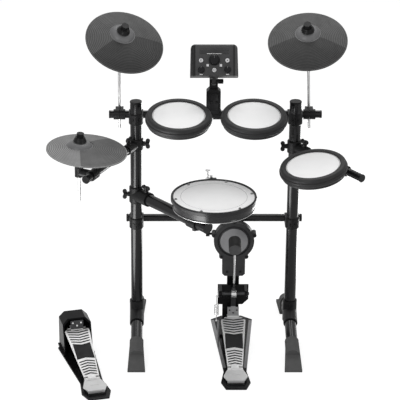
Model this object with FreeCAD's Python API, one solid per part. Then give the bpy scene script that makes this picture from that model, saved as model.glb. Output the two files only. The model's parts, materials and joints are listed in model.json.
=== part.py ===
"""Electronic drum kit on a tube rack, with a kick tower, its pedal and a hi-hat pedal.

Millimetres, +Z up, floor at Z 0. +X is the player's right, and the player sits on the -Y side.
The rack is laid out about the midpoint between its two posts, and the finished kit is then
moved so that the origin is the bottom centre of its bounding box.
"""
import FreeCAD
import Part
import math
import os

V = FreeCAD.Vector
X_AXIS = V(1, 0, 0)
Y_AXIS = V(0, 1, 0)
Z_AXIS = V(0, 0, 1)

# Fits
SLIP = 0.3          # between pieces that move on each other
SEAT = 0.15         # between pieces of one assembly
FRONT_WAY = 270.0   # heading of the player's side

# Tubes of the rack
POST_R = 19.0
POST_WALL = 2.0
POST_HALF_SPACING = 257.0
POST_BOTTOM_Z = 72.0
POST_TOP_Z = 846.0
REACH = POST_TOP_Z / 2  # length of a cutting tool that goes right through
BAR_R = 12.5
BAR_WALL = 1.5
BAR_Y = 36.0
TOP_BAR_Z = 791.0
TOP_BAR_HALF = 340.0
MID_BAR_Z = 423.0
MID_BAR_HALF = 286.0
CAP_RIM = 0.6
CAP_TOP = 5.0
CAP_PLUG = 14.0
CAP_EDGE = 1.2

# Moulded clamps
CLAMP_WALL = 4.5
CLAMP_HEIGHT = 38.0
CLAMP_CHAMFER = 3.0
BAR_SLEEVE_LENGTH = 46.0
SLIT = 2.4
POCKET_R = 4.2
POCKET_DEPTH = 3.0
POCKET_SPREAD = 24.0
BOLT_HEAD_R = 3.6
BOLT_LENGTH = 5.0

# Legs and feet
HUB_TOP_Z = 137.0
HUB_BOTTOM_Z = 62.0
LEG_START_Z = 96.0
LEG_SLOPE = 17.0
LEG_INNER = 26.0
LEG_LENGTH = 182.0
HUB_SOCKET = 62.0
FOOT_SLEEVE = 62.0
FOOT_WALL = 4.0
FOOT_BACK_Y = 158.0
FOOT_TIP_Y = 257.0
FOOT_BACK_WIDTH = 44.0
FOOT_TIP_WIDTH = 58.0
FOOT_BACK_HEIGHT = 60.0
FOOT_TIP_HEIGHT = 8.0
WINDOW_WIDTH = 12.0
WINDOW_HEIGHT = 16.0
WINDOW_DEPTH = 2.0

# Arms that swing on the posts
HAT_ARM_Z = 703.0
HAT_ARM_LENGTH = 332.0
HAT_ARM_ANGLE = 242.8
HAT_SLEEVE_HEIGHT = 39.0
TOM_ARM_Z = 694.0
TOM_ARM_LENGTH = 326.0
TOM_ARM_ANGLE = 306.2
TOM_SLEEVE_HEIGHT = 44.0
SNARE_ARM_Z = 525.0
SNARE_ARM_LENGTH = 350.0
SNARE_ARM_ANGLE = 310.4
SNARE_SLEEVE_HEIGHT = 58.0
ARM_SOCKET = 66.0
ARM_START = 24.0
WING_BOLT_R = 4.0
WING_HUB_R = 7.0
WING_HUB_LENGTH = 12.0
WING_EAR_SHARE = 0.7
WING_SPAN = 17.0
WING_THICK = 5.0
WING_BOSS_R = 8.0
WING_BOSS_LENGTH = 6.0
WING_GAP = 0.4
LOCK_DISTANCE = 50.0

# Cymbal rods and cymbals
ROD_R = 4.75
ROD_BACK = 24.0
ROD_BLOCK_WIDTH = 26.0
ROD_BLOCK_HEIGHT = 30.0
ROD_COLLAR_LENGTH = 38.0
ROD_BEND_R = 30.0
CRASH_ROD_BELOW = 56.0
LEFT_CRASH_X = -311.0
LEFT_CRASH_RISE = 231.0
LEFT_CRASH_TILT = 32.4
LEFT_CRASH_TURN = 25.7
LEFT_CRASH_LEAN = 0.0
RIGHT_CRASH_X = 305.0
RIGHT_CRASH_RISE = 231.0
RIGHT_CRASH_TILT = 27.0
RIGHT_CRASH_TURN = -6.3
RIGHT_CRASH_LEAN = -2.2
CRASH_STEM = 44.0
HAT_ROD_OFFSET = 50.0
HAT_ROD_FROM_END = 44.0
HAT_ROD_BELOW = 101.0
HAT_RISE = 82.0
HAT_TILT = 5.0
HAT_TURN = 70.0
CYMBAL_R = 127.0
CYMBAL_OFFSET = 25.0
CYMBAL_THICK = 5.0
CYMBAL_DROP = 10.0
CYMBAL_EDGE = 2.4
BELL_R = 40.0
BELL_TOP_R = 24.0
BELL_HEIGHT = 11.0
BELL_CREST_DROP = 0.35
STRIKE_RAISE = 0.9
STRIKE_SPREAD = 132.0
STRIKE_INNER_R = 44.0
STRIKE_MARGIN = 4.0
SEAT_BALL_R = 14.0
SEAT_BALL_CUT = 8.0
CYMBAL_HOLE_R = 9.0
TOPPER_GAP = 3.6
TOPPER_BASE_R = 21.0
TOPPER_MID_R = 15.0
TOPPER_STEM_R = 11.5
TOPPER_BASE_HEIGHT = 13.0
TOPPER_HEIGHT = 26.0
TOPPER_WAIST_SHARE = 0.7
TOPPER_WING = 28.0
TOPPER_WING_THICK = 9.0

# Tom pads, laid out from the tube that carries them
PAD_R = 107.0
PAD_PLAY_R = 84.5
PAD_RIM_HEIGHT = 23.0
PAD_RIM_RISE = 4.0
RIM_STEP = 3.0
RIM_STEP_Z = -10.0
PAD_HEAD_THICK = 6.0
PAD_CROWN = 1.2
PAD_TRAY_DEPTH = 8.0
PAD_TRAY_R = 100.0
WEB_INNER = 0.3
WEB_OUTER = 0.95
WEB_SIN = 0.6
WEB_COS = 0.8
PAD_FORWARD = 126.0
PAD_UP = 46.0
PAD_TILT = 9.5
PAD_BRACKET_WIDTH = 38.0
RACK_TOM_X = 120.0
FLOOR_TOM_ALONG = 240.0
JACK_R = 3.25
JACK_BOSS_R = 7.5
JACK_BOSS_LENGTH = 16.0

# Snare
SNARE_X = -11.0
SNARE_Y = -286.0
SNARE_TOP_Z = 645.0
SNARE_SHELL_R = 128.0
SNARE_SHELL_WALL = 4.0
SNARE_SHELL_DEPTH = 33.0
SNARE_LIP = 3.0
HOOP_R = SNARE_SHELL_R + 7.0
HOOP_HEIGHT = 14.0
HOOP_STEP = 6.0
HOOP_LAP = 1.0
MESH_THICK = 2.0
MESH_BELOW_HOOP = 4.0
LUG_COUNT = 6
LUG_R = 3.2
LUG_CIRCLE_R = SNARE_SHELL_R - 7.0
LUG_HEIGHT = 3.4
LUG_WASHER = 0.85
LUG_WASHER_R = 4.8
LUG_TURN = 10.0
FOAM_BASE_R = 26.0
FOAM_TOP_R = 9.0
SNARE_FLOOR = 4.0
HOLDER_ALONG = 290.0
HOLDER_LENGTH = 42.0
L_ROD_R = 5.0
L_ROD_Z = 575.0
L_ROD_BEND = 16.0
L_ROD_TAIL = 34.0
L_SLEEVE_R = 11.0
L_SLEEVE_LENGTH = 36.0
REAR_BRACKET_GAP = 15.0
REAR_BRACKET_WIDTH = 34.0
REAR_BRACKET_HEIGHT = 26.0
REAR_BRACKET_TOP_Z = 640.0
REAR_ROD_TOP_Z = 652.0
REAR_SCREW_HEIGHT = 30.0
REAR_SCREW_R = 3.0
REAR_TURN = 2.0

# Sound module
MODULE_X = -6.5
MODULE_WIDTH = 150.0
MODULE_FOOT_WIDTH = 154.0
MODULE_HEIGHT = 103.0
MODULE_DEPTH = 42.0
MODULE_TILT = 30.0
MODULE_FACE_Y = 2.5
MODULE_FACE_Z = 990.3
MODULE_ROUND = 14.0
MODULE_SEAM = 16.0
MODULE_WALL = 3.0
MODULE_EDGE = 10.0
MODULE_JACKS = 4
MODULE_JACK_PITCH = 24.0
DISPLAY_WIDTH = 92.0
DISPLAY_HEIGHT = 20.0
DISPLAY_DEPTH = 1.0
DISPLAY_V = 28.0
DIAL_R = 16.0
DIAL_V = -1.0
DIAL_HEIGHT = 11.0
KNOB_R = 11.0
KNOB_U = 42.0
KNOB_V = -32.0
KNOB_HEIGHT = 10.0
BUTTON_R = 6.6
BUTTON_V = -2.0
LOW_BUTTON_V = -33.0
SMALL_BUTTON = 7.6
SMALL_U = 21.0
SMALL_V = -18.0
BUTTON_PROUD = 2.4
BUTTON_EDGE = 0.6
BUTTON_WELL = 5.0
KNOB_STEM_R = 3.0
KNOB_LIFT = 0.4
KNOB_TAPER = 0.94
KNOB_EDGE = 0.2
KNOB_SLOT_START = 0.4
KNOB_FLUTES = 12
POINTER = 1.6
BOARD_THICK = 1.6
YOKE_WIDTH = 27.0
YOKE_WALL = 7.0
YOKE_DEPTH = 14.0
YOKE_PIVOT_Z = 905.0
YOKE_TOP_Z = 914.0
YOKE_SLOT_Z = 893.0
EAR_R = 9.0
EAR_HIGH = 19.7
EAR_LOW = 46.0
EAR_UNDER = 6.3
EAR_OVER_Y = 8.1
EAR_OVER_Z = 3.6
THUMB_R = 3.0
THUMB_HEAD_R = 8.0
THUMB_HEAD_LENGTH = 17.0
THUMB_REACH = 18.0
UPRIGHT_WIDTH = 46.0
UPRIGHT_DEPTH = 30.0
UPRIGHT_TOP_Z = 882.0
UPRIGHT_SHOULDER = 9.0
SADDLE_WIDTH = 26.0
SADDLE_SHIFT = 12.0

# Kick tower and pedals, laid out from the heel hinge with +Y towards the toe
KICK_X = 66.0
KICK_HINGE_Y = -268.0
HAT_PEDAL_X = -399.0
HAT_PEDAL_Y = -334.0
HAT_PEDAL_YAW = 14.4
HINGE_Z = 17.0
HINGE_R = 3.0
BASE_THICK = 4.0
BASE_END_HALF = 33.0
BASE_HEEL_HALF = 48.0
BASE_WAIST_HALF = 37.5
BASE_TOE_HALF = 71.0
HAT_TOE_HALF = 58.0
BASE_END = -106.0
BASE_HEEL = -62.0
BASE_WAIST = 10.0
HAT_BASE_TOE = 262.0
HAT_BASE_TAIL = 300.0
BASE_TAIL_HALF = 34.0
BOARD_LENGTH = 246.0
BOARD_SLOPE = 15.0
BOARD_PLATE = 5.0
BOARD_LIFT = 1.5
BOARD_GAP = 2.5
BOARD_TOE_HALF = 41.0
BOARD_HEEL_HALF = 25.0
BOARD_TONGUE_HALF = 20.0
BOARD_TONGUE = 14.0
CHEVRONS = 6
CHEVRON_PITCH = 12.0
CHEVRON_WIDTH = 6.0
CHEVRON_RISE = 7.0
CHEVRON_DEPTH = 1.4
TOE_CHEVRON_END = 241.0
HEEL_CHEVRON_START = 14.0
CHEVRON_MARGIN = 4.0
GRIP_START = 98.0
GRIP_END = 160.0
GRIP_THICK = 1.6
HEEL_LENGTH = 74.0
HEEL_WIDE = 30.0
HEEL_WIDE_HALF = 39.0
HEEL_END_HALF = 27.0
HEEL_PLATE_Z = 13.0
HEEL_PLATE_THICK = 5.0
KNUCKLE_R = 6.5
KNUCKLE_HALF = 13.0

# Kick pad
PAD_FACE_Y = 258.0
KICK_PAD_Z = 356.0
KICK_RING_R = 67.0
KICK_RING_INNER_R = 46.0
KICK_RING_DEPTH = 14.0
KICK_STEP_R = 54.0
KICK_STEP = 2.5
KICK_LOBE_R = 8.0
KICK_LOBES = 5
LOBE_CIRCLE_R = 69.5
KICK_RING_PROUD = 2.0
KICK_BACK_DEPTH = 18.0
KICK_PAD_CROWN = 2.0
KICK_KNOB_R = 9.0
KICK_KNOB_LENGTH = 12.0
KICK_KNOB_STEM_R = 4.0
KICK_KNOB_STEM = 15.0
NECK_WIDTH = 76.0
NECK_BOTTOM_Z = 229.0
TOWER_WIDTH = 40.0
TOWER_DEPTH = 22.0
TOWER_FOOT = 62.0
TOWER_FOOT_Z = 12.0
KICK_BASE_BEYOND = 46.0
KICK_BASE_EARS = 28.0
KICK_BASE_TOE = PAD_FACE_Y + KICK_RING_DEPTH + KICK_BACK_DEPTH + 2 * TOWER_DEPTH + KICK_BASE_BEYOND
KICK_BASE_TAIL = KICK_BASE_TOE + KICK_BASE_EARS

# Pedal frame, cam and beater
FRAME_Y = 262.0
FRAME_THICK = 8.0
HEAD_LEFT = -52.0
HEAD_RIGHT = 51.0
HEAD_BOTTOM_Z = 122.0
HEAD_TOP_Z = 194.0
HEAD_ROUND = 20.0
UPRIGHT_LEFT = -36.0
UPRIGHT_RIGHT = -8.0
AXLE_Y = 214.0
AXLE_Z = 186.0
AXLE_R = 5.0
AXLE_OUT = 5.0
AXLE_FIT = 0.1
BEARING_R = 10.0
BEARING_WIDTH = 10.0
BEARING_LEFT = -44.0
BEARING_RIGHT = 41.0
BEATER_TILT = 8.0
BEATER_STRIKE = 13.4   # swing that brings the head square to the pad
BEATER_LENGTH = 191.0
BEATER_ROD_R = 3.2
BEATER_R = 20.5
BEATER_RISE = 21.0
BEATER_HEAD_LENGTH = 52.0
BEATER_EDGE = 3.0
CAM_R = 13.0
CAM_WIDTH = 16.0
CAM_ARM = 30.0
CAM_ARM_WIDTH = 8.0
LINK_HALF = 19.0
LINK_RISE = 36.0
LINK_THICK = 3.0
LINK_LEAN = 5.0
LINK_GAP = 2.5
LINK_SCREW_R = 2.6
LINK_SCREW_HEIGHT = 1.6
LINK_SCREW_SPREAD = 0.65
LINK_SCREWS = ((-1, 1), (1, 1), (0, -1))
LINK_SCREW_STEP = 5.0
LEVER_X = -51.0
SPRING_X = -58.0
SPRING_PIN_R = 2.0
SPRING_PIN_LENGTH = 10.0
SPRING_LEVER = 20.0
SPRING_LEVER_THICK = 3.0
SPRING_COIL_R = 6.5
SPRING_WIRE_R = 1.2
SPRING_TURNS = 9
SPRING_PITCH = 4.0
SPRING_EASE = 9.0
SPRING_SAMPLES = 6
SPRING_BOTTOM_Z = 118.0
SPRING_EYE_Z = 96.0

# Hi-hat pedal housing
HOUSING_HALF = 48.0
HOUSING_BACK = 290.0
HOUSING_FRONT = 196.0
HOUSING_TOP_FRONT = 232.0
HOUSING_HEIGHT = 124.0
HOUSING_WALL = 5.0
HOUSING_CORNER = 18.0
STRAP_HALF = 21.0
STRAP_THICK = 2.5
STRAP_RISE = 36.0
STRAP_ALONG = 234.0


def cyl(base, axis, radius, length):
    """A solid cylinder from base along axis."""
    return Part.makeCylinder(radius, length, base, axis)


def cyl_mid(middle, axis, radius, length):
    """A solid cylinder centred on a point."""
    unit = V(axis).normalize()
    return cyl(middle - unit * (length / 2), unit, radius, length)


def tube(base, axis, outer, inner, length):
    """A hollow cylinder from base along axis."""
    return cyl(base, axis, outer, length).cut(cyl(base, axis, inner, length))


def block(x0, x1, y0, y1, z0, z1):
    """A box between two corners."""
    return Part.makeBox(x1 - x0, y1 - y0, z1 - z0, V(x0, y0, z0))


def fused(shapes):
    """One solid from overlapping shapes."""
    whole = shapes[0].multiFuse(shapes[1:]) if len(shapes) > 1 else shapes[0]
    return whole.removeSplitter()


def prism(points, direction):
    """A flat outline pushed along a vector."""
    return Part.Face(Part.makePolygon(points + points[:1])).extrude(direction)


def outline(start, *legs):
    """A closed wire of lines and three-point arcs."""
    edges = []
    here = start
    for leg in legs:
        if isinstance(leg, tuple):
            edges.append(Part.Arc(here, leg[0], leg[1]).toShape())
            here = leg[1]
        else:
            edges.append(Part.makeLine(here, leg))
            here = leg
    edges.append(Part.makeLine(here, start))
    return Part.Wire(edges)


def turned(start, *legs):
    """A solid of revolution about Z from an outline in the XZ plane."""
    return Part.Face(outline(start, *legs)).revolve(V(), Z_AXIS, 360)


def placed(shape, placement):
    """A copy of a shape moved by a placement."""
    copy = shape.copy()
    copy.Placement = placement.multiply(copy.Placement)
    return copy


def heading(angle):
    """A level unit vector at an angle from +X, in degrees."""
    return V(math.cos(math.radians(angle)), math.sin(math.radians(angle)), 0)


def turn(axis, angle, base=None):
    """A placement that turns about an axis through the origin, then moves to base."""
    return FreeCAD.Placement(base or V(), FreeCAD.Rotation(axis, angle))


def end_cap(base, axis, tube_r, wall):
    """A plug-in end cap: a chamfered disc over a short plug."""
    disc = cyl(base, axis, tube_r + CAP_RIM, CAP_TOP)
    outer_rim = [edge for edge in disc.Edges if edge.distToShape(Part.Vertex(base + axis * CAP_TOP))[0]
                 < tube_r + CAP_RIM + SEAT and abs((edge.CenterOfMass - base).dot(axis) - CAP_TOP) < SEAT]
    disc = disc.makeChamfer(CAP_EDGE, outer_rim)
    plug = cyl(base - axis * CAP_PLUG, axis, tube_r - wall - SEAT, CAP_PLUG)
    return fused([disc, plug])


def posts():
    """The two upright tubes."""
    return [tube(V(side * POST_HALF_SPACING, 0, POST_BOTTOM_Z), Z_AXIS, POST_R, POST_R - POST_WALL,
                 POST_TOP_Z - POST_BOTTOM_Z) for side in (-1, 1)]


def crossbars():
    """The two level tubes behind the posts."""
    return [tube(V(-half, BAR_Y, z), X_AXIS, BAR_R, BAR_R - BAR_WALL, 2 * half)
            for half, z in ((TOP_BAR_HALF, TOP_BAR_Z), (MID_BAR_HALF, MID_BAR_Z))]


def tube_caps():
    """End caps of the posts and crossbars."""
    caps = []
    for side in (-1, 1):
        caps.append(end_cap(V(side * POST_HALF_SPACING, 0, POST_TOP_Z), Z_AXIS, POST_R, POST_WALL))
        for half, z in ((TOP_BAR_HALF, TOP_BAR_Z), (MID_BAR_HALF, MID_BAR_Z)):
            caps.append(end_cap(V(side * half, BAR_Y, z), X_AXIS * side, BAR_R, BAR_WALL))
    return caps


def pocket_places(side, z):
    """Where the two bolts of a post clamp sit, with the way they point."""
    reach = POST_R + CLAMP_WALL
    ways = [heading(FRONT_WAY + turn_by) for turn_by in (-POCKET_SPREAD, POCKET_SPREAD)]
    return [(V(side * POST_HALF_SPACING, 0, z) + way * reach, way) for way in ways]


def crossbar_clamp(side, z):
    """A moulded clamp: a split collar on the post and a sleeve for the bar behind it."""
    post = V(side * POST_HALF_SPACING, 0, z)
    outer = POST_R + CLAMP_WALL
    collar = cyl_mid(post, Z_AXIS, outer, CLAMP_HEIGHT)
    rims = [edge for edge in collar.Edges if len(edge.Vertexes) == 1]
    collar = collar.makeChamfer(CLAMP_CHAMFER, rims)
    sleeve = cyl_mid(post + Y_AXIS * BAR_Y, X_AXIS, BAR_R + CLAMP_WALL, BAR_SLEEVE_LENGTH)
    rear = block(post.x - BAR_SLEEVE_LENGTH / 2, post.x + BAR_SLEEVE_LENGTH / 2, 0, BAR_Y,
                 z - BAR_R - CLAMP_WALL, z + BAR_R + CLAMP_WALL)
    body = fused([collar, rear, sleeve])
    tools = [cyl_mid(post, Z_AXIS, POST_R + SEAT, REACH),
             cyl_mid(post + Y_AXIS * BAR_Y, X_AXIS, BAR_R + SEAT, REACH),
             block(post.x - SLIT / 2, post.x + SLIT / 2, -outer - SLIT, 0,
                   z - CLAMP_HEIGHT, z + CLAMP_HEIGHT)]
    for place, out in pocket_places(side, z):
        tools.append(cyl(place - out * POCKET_DEPTH, out, POCKET_R, REACH))
    return body.cut(tools)


def clamp_levels():
    """Height and side of each crossbar clamp."""
    return [(side, z) for z in (TOP_BAR_Z, MID_BAR_Z) for side in (-1, 1)]


def crossbar_clamps():
    """The four clamps that join the posts and crossbars."""
    return [crossbar_clamp(side, z) for side, z in clamp_levels()]


def clamp_bolts():
    """Socket bolts in the pockets of the crossbar clamps."""
    bolts = []
    for side, z in clamp_levels():
        for place, out in pocket_places(side, z):
            head = cyl(place - out * POCKET_DEPTH, out, BOLT_HEAD_R, BOLT_LENGTH)
            socket = cyl(place + out * (BOLT_LENGTH - 2 * POCKET_DEPTH + SLIT), out, BOLT_HEAD_R / 2, REACH)
            bolts.append(head.cut(socket))
    return bolts


def leg_axis(front):
    """Way that a leg leaves its hub: -1 front, 1 rear."""
    slope = math.radians(LEG_SLOPE)
    return V(0, front * math.cos(slope), -math.sin(slope))


def leg_hub(side):
    """A moulded foot hub: a sleeve for the post and two sloping sockets."""
    foot = V(side * POST_HALF_SPACING, 0, 0)
    outer = POST_R + CLAMP_WALL
    start = foot + Z_AXIS * LEG_START_Z
    bodies = [cyl(foot + Z_AXIS * HUB_BOTTOM_Z, Z_AXIS, outer, HUB_TOP_Z - HUB_BOTTOM_Z)]
    bodies += [cyl(start, leg_axis(front), outer, HUB_SOCKET) for front in (-1, 1)]
    hub = fused(bodies)
    tools = [cyl(foot + Z_AXIS * POST_BOTTOM_Z, Z_AXIS, POST_R + SEAT, REACH)]
    tools += [cyl(start + leg_axis(front) * LEG_INNER, leg_axis(front), POST_R + SEAT, REACH)
              for front in (-1, 1)]
    window_z = HUB_TOP_Z - CLAMP_WALL - WINDOW_HEIGHT
    for offset in (-1, 1):
        middle = offset * (WINDOW_WIDTH / 2 + SLIT)
        tools.append(block(foot.x + middle - WINDOW_WIDTH / 2, foot.x + middle + WINDOW_WIDTH / 2,
                           -outer - WINDOW_DEPTH, -outer + WINDOW_DEPTH,
                           window_z, window_z + WINDOW_HEIGHT))
    return hub.cut(tools)


def leg_hubs():
    """Both foot hubs."""
    return [leg_hub(side) for side in (-1, 1)]


def legs():
    """The four sloping leg tubes."""
    tubes = []
    for side in (-1, 1):
        for front in (-1, 1):
            start = V(side * POST_HALF_SPACING, 0, LEG_START_Z) + leg_axis(front) * LEG_INNER
            tubes.append(tube(start, leg_axis(front), POST_R, POST_R - POST_WALL, LEG_LENGTH))
    return tubes


def rubber_foot(side, front):
    """A rubber boot: a round sleeve over the leg that runs out into a flat wedge."""
    start = V(side * POST_HALF_SPACING, 0, LEG_START_Z)
    axis = leg_axis(front)
    tip = start + axis * (LEG_INNER + LEG_LENGTH)
    sleeve = cyl(tip - axis * FOOT_SLEEVE, axis, POST_R + FOOT_WALL, FOOT_SLEEVE + FOOT_WALL)
    sections = []
    for y, width, height in ((FOOT_BACK_Y, FOOT_BACK_WIDTH, FOOT_BACK_HEIGHT),
                             (FOOT_TIP_Y, FOOT_TIP_WIDTH, FOOT_TIP_HEIGHT)):
        corners = [V(start.x + dx, front * y, z) for dx, z in
                   ((-width / 2, -FOOT_WALL), (width / 2, -FOOT_WALL),
                    (width / 2, height), (-width / 2, height))]
        sections.append(Part.makePolygon(corners + corners[:1]))
    wedge = Part.makeLoft(sections, True, True)
    boot = fused([sleeve, wedge])
    below = block(start.x - REACH, start.x + REACH, -REACH, REACH, -REACH, 0)
    return boot.cut([below, cyl(start, axis, POST_R + SEAT, LEG_INNER + LEG_LENGTH)])


def rubber_feet():
    """The four boots."""
    return [rubber_foot(side, front) for side in (-1, 1) for front in (-1, 1)]


def arm_sleeve(post_x, z, angle, height, arm_r):
    """A sleeve that turns on a post, with a socket for an arm and bosses for its bolts."""
    post = V(post_x, 0, z)
    way = heading(angle)
    lock = lock_way(angle)
    outer = POST_R + CLAMP_WALL
    collar = cyl_mid(post, Z_AXIS, outer, height)
    collar = collar.makeChamfer(CLAMP_CHAMFER, [edge for edge in collar.Edges if len(edge.Vertexes) == 1])
    socket = cyl(post, way, arm_r + CLAMP_WALL, ARM_SOCKET)
    post_boss = cyl(post, lock, WING_BOSS_R, outer + WING_BOSS_LENGTH)
    arm_boss = cyl(post + way * LOCK_DISTANCE, Z_AXIS, WING_BOSS_R, arm_r + CLAMP_WALL + WING_BOSS_LENGTH)
    body = fused([collar, socket, post_boss, arm_boss])
    tools = [cyl_mid(post, Z_AXIS, POST_R + SLIP, REACH),
             cyl(post + way * ARM_START, way, arm_r + SEAT, REACH),
             cyl(post, lock, WING_BOLT_R + SLIP, REACH),
             cyl(post + way * LOCK_DISTANCE, Z_AXIS, WING_BOLT_R + SEAT, REACH)]
    return body.cut(tools)


def lock_way(angle):
    """The side of a post sleeve, away from its arm, where the wing bolt stands."""
    return X_AXIS if heading(angle).x < 0 else -X_AXIS


def wing_bolt(tip, way, side, boss_end):
    """A wing bolt: a shank from tip along way, a hub past the boss and two round ears."""
    shank = cyl(tip, way, WING_BOLT_R, boss_end + WING_GAP + WING_HUB_LENGTH)
    hub_base = tip + way * (boss_end + WING_GAP)
    hub = cyl(hub_base, way, WING_HUB_R, WING_HUB_LENGTH)
    ears = []
    for sign in (-1, 1):
        middle = hub_base + way * (WING_HUB_LENGTH * WING_EAR_SHARE)
        middle = middle + side * (sign * (WING_SPAN - WING_HUB_R))
        flat = way.cross(side)
        ears.append(cyl_mid(middle, flat, WING_HUB_R, WING_THICK))
        bridge = prism([hub_base, hub_base + way * WING_HUB_LENGTH, middle + way * WING_HUB_R,
                        middle - way * WING_HUB_R + side * (sign * SLIT)], flat * WING_THICK)
        ears.append(placed(bridge, FreeCAD.Placement(flat * (-WING_THICK / 2), FreeCAD.Rotation())))
    return fused([shank, hub] + ears)


def post_bolt(post_x, z, angle):
    """The bolt that locks an arm's sleeve on its post."""
    lock = lock_way(angle)
    tip = V(post_x, 0, z) + lock * (POST_R + SLIP)
    return wing_bolt(tip, lock, Z_AXIS, CLAMP_WALL + WING_BOSS_LENGTH - SLIP)


def arm_bolt(post_x, z, angle, arm_r):
    """The bolt that locks an arm in its sleeve."""
    tip = V(post_x, 0, z) + heading(angle) * LOCK_DISTANCE + Z_AXIS * (arm_r + SEAT)
    return wing_bolt(tip, Z_AXIS, heading(angle), CLAMP_WALL + WING_BOSS_LENGTH - SEAT)


def arm_tube(post_x, z, angle, arm_r, wall, length):
    """An arm's tube with its end cap, in place."""
    start = V(post_x, 0, z) + heading(angle) * (ARM_START + SEAT)
    end = V(post_x, 0, z) + heading(angle) * length
    body = tube(start, heading(angle), arm_r, arm_r - wall, length - ARM_START - SEAT)
    return [body, end_cap(end, heading(angle), arm_r, wall)]


def swept(points, bend, radius):
    """A round rod through three points, with one bend of a given radius."""
    start, corner, end = points
    back = (start - corner).normalize()
    ahead = (end - corner).normalize()
    half = back.getAngle(ahead) / 2
    tangent = bend / math.tan(half)
    first = corner + back * tangent
    last = corner + ahead * tangent
    inward = (back + ahead).normalize()
    crest = corner + inward * (bend / math.sin(half) - bend)
    path = Part.Wire([Part.makeLine(start, first), Part.Arc(first, crest, last).toShape(),
                      Part.makeLine(last, end)])
    section = Part.Wire([Part.makeCircle(radius, start, corner - start)])
    return path.makePipeShell([section], True, False)


def cymbal_surface(raise_by, radius):
    """A shallow bowed disc about Z, its centre at the local origin."""
    lift = SEAT_BALL_CUT / 2
    mid = radius / 2
    sag = CYMBAL_DROP * (mid / radius) ** 2
    low_mid = V(mid, 0, lift - sag)
    low_edge = V(radius, 0, lift - CYMBAL_DROP)
    top_edge = V(radius, 0, lift - CYMBAL_DROP + CYMBAL_EDGE + raise_by)
    top_mid = V(mid, 0, lift - sag + CYMBAL_THICK + raise_by)
    top = V(0, 0, lift + CYMBAL_THICK + raise_by)
    return turned(V(0, 0, lift), (low_mid, low_edge), top_edge, (top_mid, top))


def bell_top():
    """Height of the bell above the seat's centre."""
    return SEAT_BALL_CUT / 2 + CYMBAL_THICK + BELL_HEIGHT


def cymbal():
    """A pad cymbal about its rod: off-centre hole, bell and a raised strike zone towards -Y."""
    centre = FreeCAD.Placement(V(0, -CYMBAL_OFFSET, 0), FreeCAD.Rotation())
    disc = placed(cymbal_surface(0, CYMBAL_R), centre)
    foot = SEAT_BALL_CUT / 2 - CYMBAL_EDGE
    crest = V((BELL_R + BELL_TOP_R) / 2, 0, bell_top() - BELL_HEIGHT * BELL_CREST_DROP)
    bell = turned(V(0, 0, foot), V(BELL_R, 0, foot), V(BELL_R, 0, foot + CYMBAL_THICK),
                  (crest, V(BELL_TOP_R, 0, bell_top())), V(0, 0, bell_top()))
    zone = placed(cymbal_surface(STRIKE_RAISE, CYMBAL_R - STRIKE_MARGIN), centre)
    wedge = Part.makeCylinder(REACH, REACH, V(0, 0, 0), Z_AXIS, STRIKE_SPREAD)
    wedge = placed(wedge, turn(Z_AXIS, FRONT_WAY - STRIKE_SPREAD / 2))
    zone = zone.common(wedge).cut(cyl(V(0, 0, -REACH / 2), Z_AXIS, STRIKE_INNER_R, REACH))
    body = fused([disc, bell, zone])
    return body.cut([Part.makeSphere(SEAT_BALL_R + SLIP), cyl(V(), Z_AXIS, CYMBAL_HOLE_R, REACH)])


def topper():
    """The plastic wing nut over a bell, and the ball seat under it."""
    low = bell_top() + TOPPER_GAP
    top = low + TOPPER_HEIGHT
    nut = turned(V(0, 0, low), V(TOPPER_BASE_R, 0, low), V(TOPPER_MID_R, 0, low + TOPPER_BASE_HEIGHT),
                 V(TOPPER_STEM_R, 0, low + TOPPER_BASE_HEIGHT), V(TOPPER_STEM_R, 0, top), V(0, 0, top))
    wing = block(-TOPPER_WING / 2, TOPPER_WING / 2, -TOPPER_WING_THICK / 2, TOPPER_WING_THICK / 2,
                 low + TOPPER_BASE_HEIGHT / 2, low + TOPPER_HEIGHT * TOPPER_WAIST_SHARE)
    nut = fused([nut, wing]).cut(cyl(V(), Z_AXIS, ROD_R + SEAT, low + TOPPER_BASE_HEIGHT + SEAT))
    ball = Part.makeSphere(SEAT_BALL_R).cut(
        [cyl(V(0, 0, -REACH), Z_AXIS, REACH, REACH - SEAT_BALL_CUT),
         cyl_mid(V(), Z_AXIS, ROD_R + SEAT, REACH)])
    return [nut, ball]


def stem_length():
    """How far a rod runs past the seat's centre into the topper."""
    return bell_top() + TOPPER_GAP + TOPPER_BASE_HEIGHT


def cymbal_place(seat, tilt, turn_by):
    """Where a cymbal's seat stands: tilted towards -Y, then turned about Z."""
    spin = FreeCAD.Rotation(Z_AXIS, turn_by).multiply(FreeCAD.Rotation(X_AXIS, tilt))
    return FreeCAD.Placement(seat, spin)


def crash_frame(x, lean):
    """The crash rod's frame: its clamp's centre, leaning about Y."""
    return FreeCAD.Placement(V(x, BAR_Y + ROD_BACK, TOP_BAR_Z), FreeCAD.Rotation(Y_AXIS, lean))


def rod_seat(rise, stem, tilt, turn_by):
    """A cymbal seat's placement in its rod's frame, a stem's length past the rod's bend."""
    at_bend = cymbal_place(V(0, 0, rise), tilt, turn_by)
    return cymbal_place(at_bend.multVec(V(0, 0, stem)), tilt, turn_by)


def crash(x, lean, rise, tilt, turn_by):
    """Rod, cymbal and topper of one crash."""
    frame = crash_frame(x, lean)
    seat = rod_seat(rise, CRASH_STEM, tilt, turn_by)
    rod = swept([V(0, 0, -CRASH_ROD_BELOW), V(0, 0, rise), seat.multVec(V(0, 0, stem_length()))],
                ROD_BEND_R, ROD_R)
    whole = frame.multiply(seat)
    return [placed(rod, frame)], [placed(cymbal(), whole)], [placed(piece, whole) for piece in topper()]


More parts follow.
